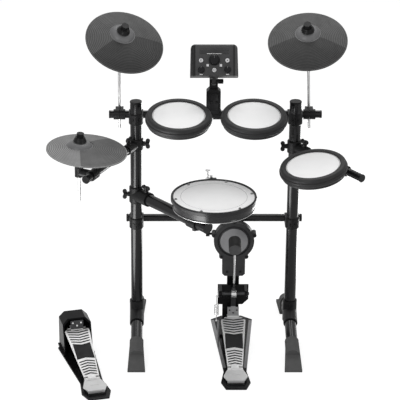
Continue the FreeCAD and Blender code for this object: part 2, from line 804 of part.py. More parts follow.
def rod_clamp(x, lean):
    """A clamp on the top bar with a block behind it for a crash rod."""
    collar = cyl_mid(V(x, BAR_Y, TOP_BAR_Z), X_AXIS, BAR_R + CLAMP_WALL, ROD_COLLAR_LENGTH)
    rear = block(x - ROD_BLOCK_WIDTH / 2, x + ROD_BLOCK_WIDTH / 2, BAR_Y, BAR_Y + ROD_BACK + 2 * ROD_R,
                 TOP_BAR_Z - ROD_BLOCK_HEIGHT / 2, TOP_BAR_Z + ROD_BLOCK_HEIGHT / 2)
    bore = placed(cyl_mid(V(), Z_AXIS, ROD_R + SLIP, REACH), crash_frame(x, lean))
    split = block(x - SLIT / 2, x + SLIT / 2, 0, BAR_Y,
                  TOP_BAR_Z - ROD_BLOCK_HEIGHT, TOP_BAR_Z + ROD_BLOCK_HEIGHT)
    bar_way = cyl_mid(V(x, BAR_Y, TOP_BAR_Z), X_AXIS, BAR_R + SEAT, REACH)
    return fused([collar, rear]).cut([bore, split, bar_way])


def hat_arm_point(along):
    """A point on the hi-hat arm's centre line."""
    return V(-POST_HALF_SPACING, 0, HAT_ARM_Z) + heading(HAT_ARM_ANGLE) * along


def hat_rod_base():
    """Where the hi-hat rod crosses the arm's height."""
    return hat_arm_point(HAT_ARM_LENGTH - HAT_ROD_FROM_END) + heading(HAT_ARM_ANGLE - 90) * HAT_ROD_OFFSET


def hat_rod_clamp():
    """The clamp at the hi-hat arm's end: a collar, a bridge and an upright sleeve for the rod."""
    on_arm = hat_arm_point(HAT_ARM_LENGTH - HAT_ROD_FROM_END)
    side = heading(HAT_ARM_ANGLE - 90)
    collar = cyl_mid(on_arm, heading(HAT_ARM_ANGLE), BAR_R + CLAMP_WALL, ROD_BLOCK_HEIGHT)
    bridge = cyl(on_arm, side, ROD_BLOCK_WIDTH / 2, HAT_ROD_OFFSET)
    sleeve = cyl_mid(hat_rod_base(), Z_AXIS, ROD_R + 2 * CLAMP_WALL, ROD_BLOCK_HEIGHT)
    return fused([collar, bridge, sleeve]).cut(
        [cyl_mid(on_arm, heading(HAT_ARM_ANGLE), BAR_R + SEAT, REACH),
         cyl_mid(hat_rod_base(), Z_AXIS, ROD_R + SLIP, REACH)])


def hat_frame():
    """The hi-hat rod's frame: upright, at the arm's height."""
    return FreeCAD.Placement(hat_rod_base(), FreeCAD.Rotation())


def hat_seat():
    """The hi-hat cymbal's placement in its rod's frame."""
    return rod_seat(HAT_RISE - ROD_BEND_R, ROD_BEND_R, HAT_TILT, HAT_TURN)


def hat():
    """Rod, cymbal and topper of the hi-hat; the rod bends a little below its seat."""
    seat = hat_seat()
    rod = swept([V(0, 0, -HAT_ROD_BELOW), V(0, 0, HAT_RISE - ROD_BEND_R),
                 seat.multVec(V(0, 0, stem_length()))],
                ROD_BEND_R, ROD_R)
    whole = hat_frame().multiply(seat)
    pieces = [placed(piece, whole) for piece in topper()]
    return [placed(rod, hat_frame())], [placed(cymbal(), whole)], pieces


def crowned(radius, low, edge, crown):
    """A disc whose top swells from its edge to a crown."""
    ball_r = (radius * radius + crown * crown) / (2 * crown)
    ball = Part.makeSphere(ball_r, V(0, 0, edge + crown - ball_r))
    return cyl(V(0, 0, low), Z_AXIS, radius, edge + crown - low).common(ball)


def pad_frame():
    """A tom pad's frame seen from the tube that carries it."""
    return FreeCAD.Placement(V(0, -PAD_FORWARD, PAD_UP), FreeCAD.Rotation(X_AXIS, PAD_TILT))


def pad_rim():
    """The rubber rim: a rolled top edge, a step and a rounded wall."""
    low = -PAD_RIM_HEIGHT
    roll = PAD_RIM_RISE * 2
    upper = PAD_R - RIM_STEP
    lean = math.sqrt(0.5)
    return turned(
        V(PAD_PLAY_R, 0, low), V(PAD_R - roll, 0, low),
        (V(PAD_R - roll + roll * lean, 0, low + roll - roll * lean), V(PAD_R, 0, low + roll)),
        V(PAD_R, 0, RIM_STEP_Z), V(upper, 0, RIM_STEP_Z + RIM_STEP / 2), V(upper, 0, PAD_RIM_RISE - roll),
        (V(upper - roll + roll * lean, 0, PAD_RIM_RISE - roll + roll * lean),
         V(upper - roll, 0, PAD_RIM_RISE)),
        V(PAD_PLAY_R + PAD_RIM_RISE, 0, PAD_RIM_RISE),
        (V(PAD_PLAY_R + PAD_RIM_RISE * (1 - lean), 0, PAD_RIM_RISE * lean), V(PAD_PLAY_R, 0, 0)))


def pad_head():
    """The white playing surface with a slight crown."""
    return crowned(PAD_PLAY_R - SEAT, -PAD_HEAD_THICK, -PAD_CROWN / 2, PAD_CROWN)


def pad_tray(side_sign):
    """The plastic tray under a pad, with its tube clamp and jack."""
    frame = pad_frame()
    bar = frame.inverse().multVec(V())
    low = -PAD_RIM_HEIGHT - PAD_TRAY_DEPTH
    grip = BAR_R + CLAMP_WALL
    core = cyl(V(0, 0, low), Z_AXIS, PAD_PLAY_R - SEAT, -PAD_HEAD_THICK - low)
    flange = cyl(V(0, 0, low), Z_AXIS, PAD_TRAY_R, PAD_TRAY_DEPTH)
    half = PAD_BRACKET_WIDTH / 2
    web_z = low + PAD_TRAY_DEPTH / 2
    side = V(0, grip * WEB_SIN, grip * WEB_COS)
    foot = V(-half, bar.y, bar.z)
    web = prism([V(-half, PAD_TRAY_R * WEB_INNER, web_z), V(-half, PAD_TRAY_R * WEB_OUTER, web_z),
                 foot + side, foot - side],
                V(PAD_BRACKET_WIDTH, 0, 0))
    sleeve = cyl_mid(bar, X_AXIS, grip, PAD_BRACKET_WIDTH)
    jack = pad_jack(side_sign)
    boss = cyl(jack, -Z_AXIS, JACK_BOSS_R, JACK_BOSS_LENGTH)
    return fused([core, flange, web, sleeve, boss]).cut(
        [cyl_mid(bar, X_AXIS, BAR_R + SLIP, REACH),
         cyl(jack, -Z_AXIS, JACK_R, REACH)])


def pad_jack(side):
    """Top of a pad's jack socket on one side, in the pad's frame."""
    return V(side * PAD_TRAY_R / 2, 0, -PAD_RIM_HEIGHT - PAD_TRAY_DEPTH / 2)


def tom(carrier, side):
    """Rim, head and tray of one tom pad, from its carrier tube's frame, with its jack on one side."""
    whole = carrier.multiply(pad_frame())
    return [placed(pad_rim(), whole)], [placed(pad_head(), whole)], [placed(pad_tray(side), whole)]


def rack_tom_frame(side):
    """The top bar's frame under a rack tom."""
    return FreeCAD.Placement(V(side * RACK_TOM_X, BAR_Y, TOP_BAR_Z), FreeCAD.Rotation())


def floor_tom_frame():
    """The floor tom arm's frame under its pad."""
    point = V(POST_HALF_SPACING, 0, TOM_ARM_Z) + heading(TOM_ARM_ANGLE) * FLOOR_TOM_ALONG
    return turn(Z_AXIS, TOM_ARM_ANGLE, point)


def snare_frame():
    """The snare's frame: the middle of its hoop's top edge."""
    return FreeCAD.Placement(V(SNARE_X, SNARE_Y, SNARE_TOP_Z), FreeCAD.Rotation())


def shell_top():
    """The shell's bearing edge, below the hoop's top."""
    return -MESH_BELOW_HOOP - MESH_THICK


def snare_shell():
    """The snare's shell with a closed floor and a lip at the bottom."""
    top = shell_top()
    low = top - SNARE_SHELL_DEPTH
    lip_r = SNARE_SHELL_R + SNARE_LIP / 2
    inner_r = SNARE_SHELL_R - SNARE_SHELL_WALL
    shell = turned(V(0, 0, low), V(lip_r, 0, low), V(lip_r, 0, low + SNARE_LIP),
                   V(SNARE_SHELL_R, 0, low + 2 * SNARE_LIP), V(SNARE_SHELL_R, 0, top), V(inner_r, 0, top),
                   V(inner_r, 0, low + SNARE_FLOOR), V(0, 0, low + SNARE_FLOOR))
    jack = cyl_mid(V(-SNARE_SHELL_R / 2, 0, low), Z_AXIS, JACK_R, REACH)
    return placed(shell.cut(jack), snare_frame())


def snare_sensor():
    """The foam cone that carries the sensor under the mesh."""
    base = shell_top() - SNARE_SHELL_DEPTH + SNARE_FLOOR
    cone = Part.makeCone(FOAM_BASE_R, FOAM_TOP_R, shell_top() - base, V(0, 0, base))
    return placed(cone, snare_frame())


def snare_mesh():
    """The white mesh head."""
    return placed(cyl(V(0, 0, shell_top()), Z_AXIS, SNARE_SHELL_R - HOOP_LAP, MESH_THICK), snare_frame())


def snare_hoop():
    """The hoop: a rounded ring that steps in over the mesh."""
    seat_r = SNARE_SHELL_R + SEAT
    lip_r = SNARE_SHELL_R - HOOP_LAP + SEAT
    half = (HOOP_R - lip_r) / 2
    crown = V(lip_r + half, 0, 0)
    hoop = turned(V(seat_r, 0, -HOOP_HEIGHT), V(HOOP_R, 0, -HOOP_HEIGHT), V(HOOP_R, 0, -half),
                  (crown, V(lip_r, 0, -half)), V(lip_r, 0, -HOOP_STEP), V(seat_r, 0, -HOOP_STEP))
    return placed(hoop, snare_frame())


def snare_lugs():
    """Tension screws round the mesh, with their washers."""
    screws = []
    for number in range(LUG_COUNT):
        at = heading(LUG_TURN + 360 / LUG_COUNT * number) * LUG_CIRCLE_R - Z_AXIS * MESH_BELOW_HOOP
        washer = cyl(at, Z_AXIS, LUG_WASHER_R, LUG_WASHER)
        screws.append(placed(fused([washer, cyl(at, Z_AXIS, LUG_R, LUG_HEIGHT)]), snare_frame()))
    return screws


def rear_frame():
    """The rear bracket's frame: on the shell's axis, turned to the L-rod's bearing."""
    return snare_frame().multiply(turn(Z_AXIS, REAR_TURN))


def rear_bracket():
    """The bracket that holds the shell on the L-rod."""
    top = REAR_BRACKET_TOP_Z - SNARE_TOP_Z
    low = top - REAR_BRACKET_HEIGHT
    half = REAR_BRACKET_WIDTH / 2
    rod_y = SNARE_SHELL_R + REAR_BRACKET_GAP
    body = block(-half, half, SNARE_SHELL_R - SNARE_SHELL_WALL, rod_y + 2 * L_ROD_R, low, top)
    hoop_room = cyl(V(0, 0, -HOOP_HEIGHT - SEAT), Z_AXIS, HOOP_R + SEAT, REACH)
    shell_room = cyl_mid(V(), Z_AXIS, SNARE_SHELL_R + SEAT, REACH)
    bore = cyl_mid(V(0, rod_y, 0), Z_AXIS, L_ROD_R + SEAT, REACH)
    return placed(body.cut([hoop_room, shell_room, bore]), rear_frame())


def rear_screw():
    """The tall bright wing screw on the rear bracket."""
    at = V(-REAR_BRACKET_WIDTH / 2 + 2 * REAR_SCREW_R, SNARE_SHELL_R + REAR_BRACKET_GAP,
           REAR_BRACKET_TOP_Z - SNARE_TOP_Z)
    shank = cyl(at, Z_AXIS, REAR_SCREW_R, REAR_SCREW_HEIGHT)
    nut = cyl(at, Z_AXIS, 2 * REAR_SCREW_R, REAR_SCREW_R)
    ears = cyl_mid(at + Z_AXIS * REAR_SCREW_HEIGHT, X_AXIS, REAR_SCREW_R, REAR_SCREW_HEIGHT / 2)
    return placed(fused([shank, nut, ears]), rear_frame())


def holder_point():
    """Where the snare's holder sits on its arm."""
    return V(-POST_HALF_SPACING, 0, SNARE_ARM_Z) + heading(SNARE_ARM_ANGLE) * HOLDER_ALONG


def l_rod_line():
    """Corner of the L-rod, and the unit vector of its level part towards the holder."""
    corner = rear_frame().multVec(V(0, SNARE_SHELL_R + REAR_BRACKET_GAP, 0))
    corner.z = L_ROD_Z
    target = holder_point()
    target.z = L_ROD_Z
    return corner, (target - corner).normalize()


def l_rod():
    """The bent rod between the holder and the snare's rear bracket."""
    corner, way = l_rod_line()
    target = holder_point()
    target.z = L_ROD_Z
    top = V(corner.x, corner.y, REAR_ROD_TOP_Z)
    return swept([top, corner, target + way * L_ROD_TAIL], L_ROD_BEND, L_ROD_R)


def snare_holder():
    """The holder on the snare arm: a collar, a neck and a sleeve for the L-rod."""
    at = holder_point()
    way = l_rod_line()[1]
    raised = V(at.x, at.y, L_ROD_Z)
    collar = cyl_mid(at, heading(SNARE_ARM_ANGLE), POST_R + CLAMP_WALL, HOLDER_LENGTH)
    neck = cyl(at, Z_AXIS, L_SLEEVE_R + SNARE_LIP, L_ROD_Z - SNARE_ARM_Z)
    sleeve = cyl_mid(raised, way, L_SLEEVE_R, L_SLEEVE_LENGTH)
    boss = cyl(at, -Z_AXIS, WING_BOSS_R, POST_R + CLAMP_WALL + WING_BOSS_LENGTH)
    return fused([collar, neck, sleeve, boss]).cut(
        [cyl_mid(at, heading(SNARE_ARM_ANGLE), POST_R + SEAT, REACH),
         cyl_mid(raised, way, L_ROD_R + SLIP, REACH)])


def module_frame():
    """The sound module's frame: middle of its face, X right, Y up the face, Z out of it."""
    return FreeCAD.Placement(V(MODULE_X, MODULE_FACE_Y, MODULE_FACE_Z),
                             FreeCAD.Rotation(X_AXIS, 90 - MODULE_TILT))


def module_block(inset, w0, w1):
    """The module's rounded outline, inset, between two depths."""
    top = MODULE_HEIGHT / 2 - inset
    low = -MODULE_HEIGHT / 2 + inset
    half = MODULE_WIDTH / 2 - inset
    foot = MODULE_FOOT_WIDTH / 2 - inset
    bend = MODULE_ROUND - inset
    lean = math.sqrt(0.5)
    wire = outline(V(-foot, low, w0), V(foot, low, w0), V(half, top - bend, w0),
                   (V(half - bend + bend * lean, top - bend + bend * lean, w0), V(half - bend, top, w0)),
                   V(-half + bend, top, w0),
                   (V(-half + bend - bend * lean, top - bend + bend * lean, w0), V(-half, top - bend, w0)))
    return Part.Face(wire).extrude(V(0, 0, w1 - w0))


def round_buttons():
    """Centres of the round buttons on the face."""
    return [V(-KNOB_U, BUTTON_V, 0), V(KNOB_U, BUTTON_V, 0), V(0, LOW_BUTTON_V, 0)]


def square_buttons():
    """Centres of the square buttons on the face."""
    return [V(-SMALL_U, SMALL_V, 0), V(SMALL_U, SMALL_V, 0)]


def knobs():
    """Centre, radius and height of the dial and the two knobs."""
    return [(V(0, DIAL_V, 0), DIAL_R, DIAL_HEIGHT), (V(-KNOB_U, KNOB_V, 0), KNOB_R, KNOB_HEIGHT),
            (V(KNOB_U, KNOB_V, 0), KNOB_R, KNOB_HEIGHT)]


def module_front():
    """The front shell with its strip, button wells and knob holes."""
    shell = module_block(0, -MODULE_SEAM, 0)
    sides = [edge for edge in shell.Edges
             if abs(edge.BoundBox.ZMin) < SEAT and edge.BoundBox.YMax > -MODULE_HEIGHT / 2 + SEAT]
    shell = shell.makeFillet(MODULE_EDGE, sides)
    tools = [module_block(MODULE_WALL, -MODULE_SEAM, -2 * MODULE_WALL)]
    half = DISPLAY_WIDTH / 2
    tools.append(block(-half, half, DISPLAY_V - DISPLAY_HEIGHT / 2, DISPLAY_V + DISPLAY_HEIGHT / 2,
                       -DISPLAY_DEPTH, REACH))
    for at in round_buttons():
        tools.append(cyl_mid(at, Z_AXIS, BUTTON_R + SLIP, REACH))
    for at in square_buttons():
        side = SMALL_BUTTON / 2 + SLIP
        tools.append(block(at.x - side, at.x + side, at.y - side, at.y + side, -REACH, REACH))
    for at, _, _ in knobs():
        tools.append(cyl_mid(at, Z_AXIS, KNOB_STEM_R + SLIP, REACH))
    return placed(shell.cut(tools), module_frame())


def ear():
    """The lug under the module that the yoke carries."""
    frame = module_frame()
    width = YOKE_WIDTH - 2 * YOKE_WALL - 2 * SLIP
    pivot = module_pivot()
    back = -MODULE_DEPTH + MODULE_WALL / 2
    high = frame.multVec(V(0, -EAR_HIGH, back))
    low = frame.multVec(V(0, -EAR_LOW, back))
    corners = [high, low, pivot - V(0, EAR_UNDER, EAR_UNDER), pivot + V(0, EAR_OVER_Y, EAR_OVER_Z)]
    web = prism([V(MODULE_X - width / 2, p.y, p.z) for p in corners], V(width, 0, 0))
    return fused([web, cyl_mid(pivot, X_AXIS, EAR_R, width)])


def module_pivot():
    """The yoke's tilting axis."""
    return V(MODULE_X, BAR_Y, YOKE_PIVOT_Z)


def module_back():
    """The back shell with its sockets and the lug."""
    shell = module_block(0, -MODULE_DEPTH, -MODULE_SEAM).cut(
        module_block(MODULE_WALL, -MODULE_DEPTH + MODULE_WALL, -MODULE_SEAM))
    tools = []
    for number in range(MODULE_JACKS):
        across = (number - (MODULE_JACKS - 1) / 2) * MODULE_JACK_PITCH
        tools.append(cyl_mid(V(across, MODULE_HEIGHT / 4, -MODULE_DEPTH), Z_AXIS, JACK_R, MODULE_SEAM))
    shell = placed(shell.cut(tools), module_frame())
    return fused([shell, ear()]).cut(cyl_mid(module_pivot(), X_AXIS, THUMB_R + SLIP, REACH))


def module_board():
    """The circuit board between the shells."""
    board = module_block(MODULE_WALL + SEAT, -MODULE_SEAM - BOARD_THICK, -MODULE_SEAM)
    return placed(board, module_frame())


def knob(at, radius, height):
    """A knob with a chamfered, fluted skirt, a pointer slot and a stem through the face."""
    edge = height * KNOB_EDGE
    top_r = radius * KNOB_TAPER
    sunk = BUTTON_WELL + 2 * MODULE_WALL
    cap = turned(V(0, 0, KNOB_LIFT), V(radius, 0, KNOB_LIFT), V(top_r, 0, height - edge),
                 V(top_r - edge, 0, height), V(0, 0, height))
    stem = cyl(V(0, 0, -sunk), Z_AXIS, KNOB_STEM_R, sunk + height / 2)
    slot = block(-POINTER / 2, POINTER / 2, radius * KNOB_SLOT_START, radius, height - POINTER, REACH)
    flutes = [cyl_mid(heading(360 / KNOB_FLUTES * (number + 0.5)) * radius, Z_AXIS, POINTER, REACH)
              for number in range(KNOB_FLUTES)]
    body = fused([cap.cut(flutes + [slot]), stem])
    return placed(placed(body, FreeCAD.Placement(at, FreeCAD.Rotation())), module_frame())


def round_button(at):
    """A round button in its well."""
    cap = cyl(at - Z_AXIS * BUTTON_WELL, Z_AXIS, BUTTON_R, BUTTON_WELL + BUTTON_PROUD)
    top = [edge for edge in cap.Edges if abs(edge.BoundBox.ZMin - BUTTON_PROUD) < SEAT]
    return placed(cap.makeChamfer(BUTTON_EDGE, top), module_frame())


def square_button(at):
    """A small square button in its well."""
    half = SMALL_BUTTON / 2
    cap = block(at.x - half, at.x + half, at.y - half, at.y + half, -BUTTON_WELL, BUTTON_PROUD)
    top = [edge for edge in cap.Edges if abs(edge.BoundBox.ZMin - BUTTON_PROUD) < SEAT]
    return placed(cap.makeChamfer(BUTTON_EDGE, top), module_frame())


def module_upright():
    """The clamp on the top bar that rises into the module's yoke."""
    half = UPRIGHT_WIDTH / 2
    low = TOP_BAR_Z + BAR_R - CLAMP_WALL
    near = BAR_Y - UPRIGHT_DEPTH / 2
    corners = [(-half + UPRIGHT_SHOULDER, low), (half - UPRIGHT_SHOULDER, low),
               (half, low + UPRIGHT_SHOULDER),
               (half, UPRIGHT_TOP_Z - UPRIGHT_SHOULDER), (half - UPRIGHT_SHOULDER, UPRIGHT_TOP_Z),
               (-half + UPRIGHT_SHOULDER, UPRIGHT_TOP_Z), (-half, UPRIGHT_TOP_Z - UPRIGHT_SHOULDER),
               (-half, low + UPRIGHT_SHOULDER)]
    body = prism([V(MODULE_X + x, near, z) for x, z in corners], V(0, UPRIGHT_DEPTH, 0))
    saddle_x = MODULE_X + SADDLE_SHIFT
    saddle = cyl_mid(V(saddle_x, BAR_Y, TOP_BAR_Z), X_AXIS, BAR_R + CLAMP_WALL, SADDLE_WIDTH)
    wide = YOKE_WIDTH / 2
    yoke = block(MODULE_X - wide, MODULE_X + wide, BAR_Y - YOKE_DEPTH / 2, BAR_Y + YOKE_DEPTH / 2,
                 UPRIGHT_TOP_Z - CLAMP_WALL, YOKE_TOP_Z)
    gap = wide - YOKE_WALL
    slot = block(MODULE_X - gap, MODULE_X + gap, BAR_Y - YOKE_DEPTH, BAR_Y + YOKE_DEPTH,
                 YOKE_SLOT_Z, YOKE_TOP_Z + YOKE_DEPTH)
    return fused([body, saddle, yoke]).cut(
        [slot, cyl_mid(V(saddle_x, BAR_Y, TOP_BAR_Z), X_AXIS, BAR_R + SEAT, REACH),
         cyl_mid(module_pivot(), X_AXIS, THUMB_R + SLIP, YOKE_WIDTH * 2)])


def thumb_screw():
    """The screw across the yoke, with a ribbed head on the right."""
    start = module_pivot() - X_AXIS * (YOKE_WIDTH / 2)
    shank = cyl(start, X_AXIS, THUMB_R, YOKE_WIDTH + THUMB_REACH)
    head = cyl(start + X_AXIS * (YOKE_WIDTH + WING_GAP), X_AXIS, THUMB_HEAD_R, THUMB_HEAD_LENGTH)
    ribs = []
    for number in range(KNOB_FLUTES):
        rib = cyl(start + X_AXIS * (YOKE_WIDTH + THUMB_R) + Z_AXIS * THUMB_HEAD_R, X_AXIS, POINTER / 2, REACH)
        rib.rotate(start, X_AXIS, 360 / KNOB_FLUTES * number)
        ribs.append(rib)
    return fused([shank, head.cut(ribs)])


def kick_frame():
    """The kick pedal's frame: under its heel hinge, +Y to the toe."""
    return turn(Z_AXIS, 0, V(KICK_X, KICK_HINGE_Y, 0))


def hat_pedal_frame():
    """The hi-hat pedal's frame: under its heel hinge, +Y to the toe."""
    return turn(Z_AXIS, HAT_PEDAL_YAW, V(HAT_PEDAL_X, HAT_PEDAL_Y, 0))


def mirrored(points):
    """A closed outline from its right half, bottom to top."""
    return points + [V(-p.x, p.y, p.z) for p in reversed(points)]


def pedal_base(toe_half, toe, tail):
    """A pedal's floor plate: narrow waist, wide ears at the toe."""
    half = [V(BASE_END_HALF, BASE_END, 0), V(BASE_HEEL_HALF, BASE_HEEL, 0), V(BASE_WAIST_HALF, BASE_WAIST, 0),
            V(toe_half, toe, 0), V(BASE_TAIL_HALF, tail, 0)]
    return prism(mirrored(half), V(0, 0, BASE_THICK))


def hinge_pin():
    """The pin through the heel hinge."""
    return cyl_mid(V(0, 0, HINGE_Z), X_AXIS, HINGE_R, 2 * BOARD_HEEL_HALF)


def heel_plate():
    """The heel plate on its riser, with the fixed knuckles of the hinge."""
    half = [V(HEEL_END_HALF, -HEEL_LENGTH, HEEL_PLATE_Z),
            V(HEEL_WIDE_HALF, -HEEL_LENGTH + HEEL_WIDE, HEEL_PLATE_Z),
            V(BOARD_HEEL_HALF, 0, HEEL_PLATE_Z)]
    plate = prism(mirrored(half), V(0, 0, HEEL_PLATE_THICK))
    riser = block(-HEEL_END_HALF, HEEL_END_HALF, -HEEL_LENGTH + KNUCKLE_R, -KNUCKLE_R, BASE_THICK,
                  HEEL_PLATE_Z + HEEL_PLATE_THICK / 2)
    knuckles = cyl_mid(V(0, 0, HINGE_Z), X_AXIS, KNUCKLE_R, 2 * BOARD_HEEL_HALF)
    room = KNUCKLE_R + 2 * SLIP
    notch = block(-KNUCKLE_HALF, KNUCKLE_HALF, -room, room, BASE_THICK, REACH)
    near = -HEEL_LENGTH + HEEL_WIDE
    rib = block(-HEEL_END_HALF / 2, HEEL_END_HALF / 2, near, near + CHEVRON_WIDTH,
                HEEL_PLATE_Z + HEEL_PLATE_THICK - CHEVRON_DEPTH, REACH)
    pin_bore = cyl_mid(V(0, 0, HINGE_Z), X_AXIS, HINGE_R + SEAT, REACH)
    return fused([plate, riser, knuckles]).cut([notch, rib, pin_bore])


def board_frame():
    """The footboard's frame at rest: on the hinge, Y up the board."""
    return turn(X_AXIS, BOARD_SLOPE, V(0, 0, HINGE_Z))


def board_half(y):
    """Half the footboard's width at a distance from its hinge."""
    start = KNUCKLE_R + BOARD_GAP
    part = (y - start) / (BOARD_LENGTH - start)
    return BOARD_HEEL_HALF + (BOARD_TOE_HALF - BOARD_HEEL_HALF) * part


def chevron(y, rise):
    """A V-shaped groove across the board; rise is how far its ends lie beyond its point."""
    half = board_half(y) - CHEVRON_MARGIN
    bend = [V(0, y, 0), V(half, y + rise, 0), V(half, y + rise + CHEVRON_WIDTH, 0),
            V(0, y + CHEVRON_WIDTH, 0),
            V(-half, y + rise + CHEVRON_WIDTH, 0), V(-half, y + rise, 0)]
    return placed(prism(bend, V(0, 0, REACH)), turn(Z_AXIS, 0, V(0, 0, board_top() - CHEVRON_DEPTH)))


def board_top():
    """The tread's height over the hinge's axis, square to the board."""
    return BOARD_LIFT + BOARD_PLATE


def grip():
    """The dark grip panel let into the tread."""
    low = board_half(GRIP_START) - CHEVRON_MARGIN
    high = board_half(GRIP_END) - CHEVRON_MARGIN
    z = board_top() - GRIP_THICK
    half = [V(low, GRIP_START - CHEVRON_RISE, z), V(high, GRIP_END + CHEVRON_RISE, z)]
    points = [V(0, GRIP_START, z)] + half + [V(0, GRIP_END, z)] + [V(-p.x, p.y, p.z) for p in reversed(half)]
    return prism(points, V(0, 0, GRIP_THICK))


def footboard(link):
    """The tread with its knuckle, grooves, link and grip panel, at rest on the hinge."""
    start = KNUCKLE_R + BOARD_GAP
    half = [V(BOARD_HEEL_HALF, start, BOARD_LIFT), V(BOARD_TOE_HALF, BOARD_LENGTH - BOARD_TONGUE, BOARD_LIFT),
            V(BOARD_TOE_HALF - BOARD_TONGUE, BOARD_LENGTH, BOARD_LIFT),
            V(BOARD_TONGUE_HALF, BOARD_LENGTH, BOARD_LIFT),
            V(BOARD_TONGUE_HALF, BOARD_LENGTH + BOARD_TONGUE, BOARD_LIFT)]
    plate = prism(mirrored(half), V(0, 0, BOARD_PLATE))
    inner = KNUCKLE_HALF - SLIP
    knuckle = cyl_mid(V(), X_AXIS, KNUCKLE_R, 2 * inner)
    neck = block(-inner, inner, 0, start + BOARD_GAP, BOARD_LIFT, board_top())
    grooves = [chevron(TOE_CHEVRON_END - CHEVRON_RISE - CHEVRON_WIDTH - number * CHEVRON_PITCH, CHEVRON_RISE)
               for number in range(CHEVRONS)]
    grooves += [chevron(HEEL_CHEVRON_START + CHEVRON_RISE + number * CHEVRON_PITCH, -CHEVRON_RISE)
                for number in range(CHEVRONS)]
    tread = fused([plate, knuckle, neck]).cut(grooves + [grip(), cyl_mid(V(), X_AXIS, HINGE_R + SLIP, REACH)])
    return [fused([placed(tread, board_frame()), link]), placed(grip(), board_frame())]


def leaf(y0, z0, y1, z1, half, thick):
    """A thin plate across X between two points of the YZ plane."""
    return prism([V(-half, y0 - thick / 2, z0), V(-half, y0 + thick / 2, z0), V(-half, y1 + thick / 2, z1),
                  V(-half, y1 - thick / 2, z1)], V(2 * half, 0, 0))


def link_screws(y, z, half, thick):
    """Three screws in a triangle, from the middle of a leaf out of its near face."""
    heads = []
    for across, up in LINK_SCREWS:
        at = V(across * half * LINK_SCREW_SPREAD, y, z + up * LINK_SCREW_STEP)
        heads.append(cyl(at, -Y_AXIS, LINK_SCREW_R, thick / 2 + LINK_SCREW_HEIGHT))
    return heads


def kick_link():
    """The link plate on the kick board's tongue and the strap that runs up to the cam."""
    foot = board_frame().multVec(V(0, BOARD_LENGTH + BOARD_TONGUE / 4, board_top() - BOARD_PLATE / 2))
    knee_y = foot.y + LINK_RISE * math.sin(math.radians(LINK_LEAN))
    knee_z = foot.z + LINK_RISE
    top_z = AXLE_Z - CAM_ARM_WIDTH / 2 - LINK_GAP
    top_y = AXLE_Y + CAM_ARM - CAM_ARM_WIDTH / 2
    plate = leaf(foot.y, foot.z, knee_y, knee_z, LINK_HALF, LINK_THICK)
    strap = leaf(knee_y, knee_z - LINK_THICK, top_y, top_z, CAM_WIDTH / 2, LINK_THICK)
    screws = link_screws((foot.y + knee_y) / 2, (foot.z + knee_z) / 2 + LINK_SCREW_R, LINK_HALF, LINK_THICK)
    return fused([plate, strap] + screws)


def hat_strap():
    """The hi-hat pedal's strap plate on its board, with three screws."""
    foot = board_frame().multVec(V(0, STRAP_ALONG, board_top() - BOARD_PLATE / 2))
    plate = leaf(foot.y, foot.z, foot.y, foot.z + STRAP_RISE, STRAP_HALF, STRAP_THICK)
    screws = link_screws(foot.y, foot.z + STRAP_RISE * LINK_SCREW_SPREAD, STRAP_HALF, STRAP_THICK)
    return fused([plate] + screws)


def kick_tower():
    """The post behind the kick pad with its foot flange."""
    back = PAD_FACE_Y + KICK_RING_DEPTH + KICK_BACK_DEPTH
    post = block(-TOWER_WIDTH / 2, TOWER_WIDTH / 2, back, back + TOWER_DEPTH, BASE_THICK, KICK_PAD_Z)
    foot = block(-TOWER_FOOT / 2, TOWER_FOOT / 2, back - TOWER_DEPTH / 2, back + 2 * TOWER_DEPTH,
                 BASE_THICK, TOWER_FOOT_Z)
    side = TOWER_WIDTH / 2
    gusset = prism([V(-side, back + TOWER_DEPTH, TOWER_FOOT_Z),
                    V(-side, back + 2 * TOWER_DEPTH, TOWER_FOOT_Z),
                    V(-side, back + TOWER_DEPTH, TOWER_FOOT_Z + 2 * TOWER_DEPTH)], V(TOWER_WIDTH, 0, 0))
    return fused([post, foot, gusset])


def lobe_places():
    """Centres of the ring's bolts: round the ring and on the neck."""
    around = [V(0, 0, KICK_PAD_Z) + V(math.sin(2 * math.pi * number / KICK_LOBES), 0,
                                      math.cos(2 * math.pi * number / KICK_LOBES)) * LOBE_CIRCLE_R
              for number in range(KICK_LOBES)]
    low = NECK_BOTTOM_Z + KICK_LOBE_R * 2
    reach = NECK_WIDTH / 2 - KICK_LOBE_R * 2
    return around + [V(-reach, 0, low), V(reach, 0, low)]


def kick_housing():
    """The pad's ring and neck in one moulding, with a recess for the pad."""
    front = PAD_FACE_Y + KICK_RING_PROUD
    back = PAD_FACE_Y + KICK_RING_DEPTH + KICK_BACK_DEPTH
    depth = back - front
    centre = V(0, front, KICK_PAD_Z)
    ring = cyl(centre, Y_AXIS, KICK_RING_R, depth)
    lobes = [cyl(V(at.x, front, at.z), Y_AXIS, KICK_LOBE_R, depth) for at in lobe_places()[:KICK_LOBES]]
    side = NECK_WIDTH / 2
    neck = prism([V(-side + KICK_LOBE_R, front, NECK_BOTTOM_Z), V(side - KICK_LOBE_R, front, NECK_BOTTOM_Z),
                  V(side, front, NECK_BOTTOM_Z + KICK_LOBE_R), V(side, front, KICK_PAD_Z - KICK_RING_INNER_R),
                  V(-side, front, KICK_PAD_Z - KICK_RING_INNER_R),
                  V(-side, front, NECK_BOTTOM_Z + KICK_LOBE_R)],
                 V(0, depth, 0))
    recess = cyl(centre, Y_AXIS, KICK_RING_INNER_R, KICK_RING_DEPTH)
    step = cyl(centre, Y_AXIS, KICK_STEP_R, KICK_STEP)
    jack = cyl(kick_jack(), Y_AXIS, JACK_R, REACH)
    knob_way = cyl(kick_knob_base(), -X_AXIS, KICK_KNOB_STEM_R + SEAT, REACH)
    return fused([ring, neck] + lobes).cut([recess, step, jack, knob_way])


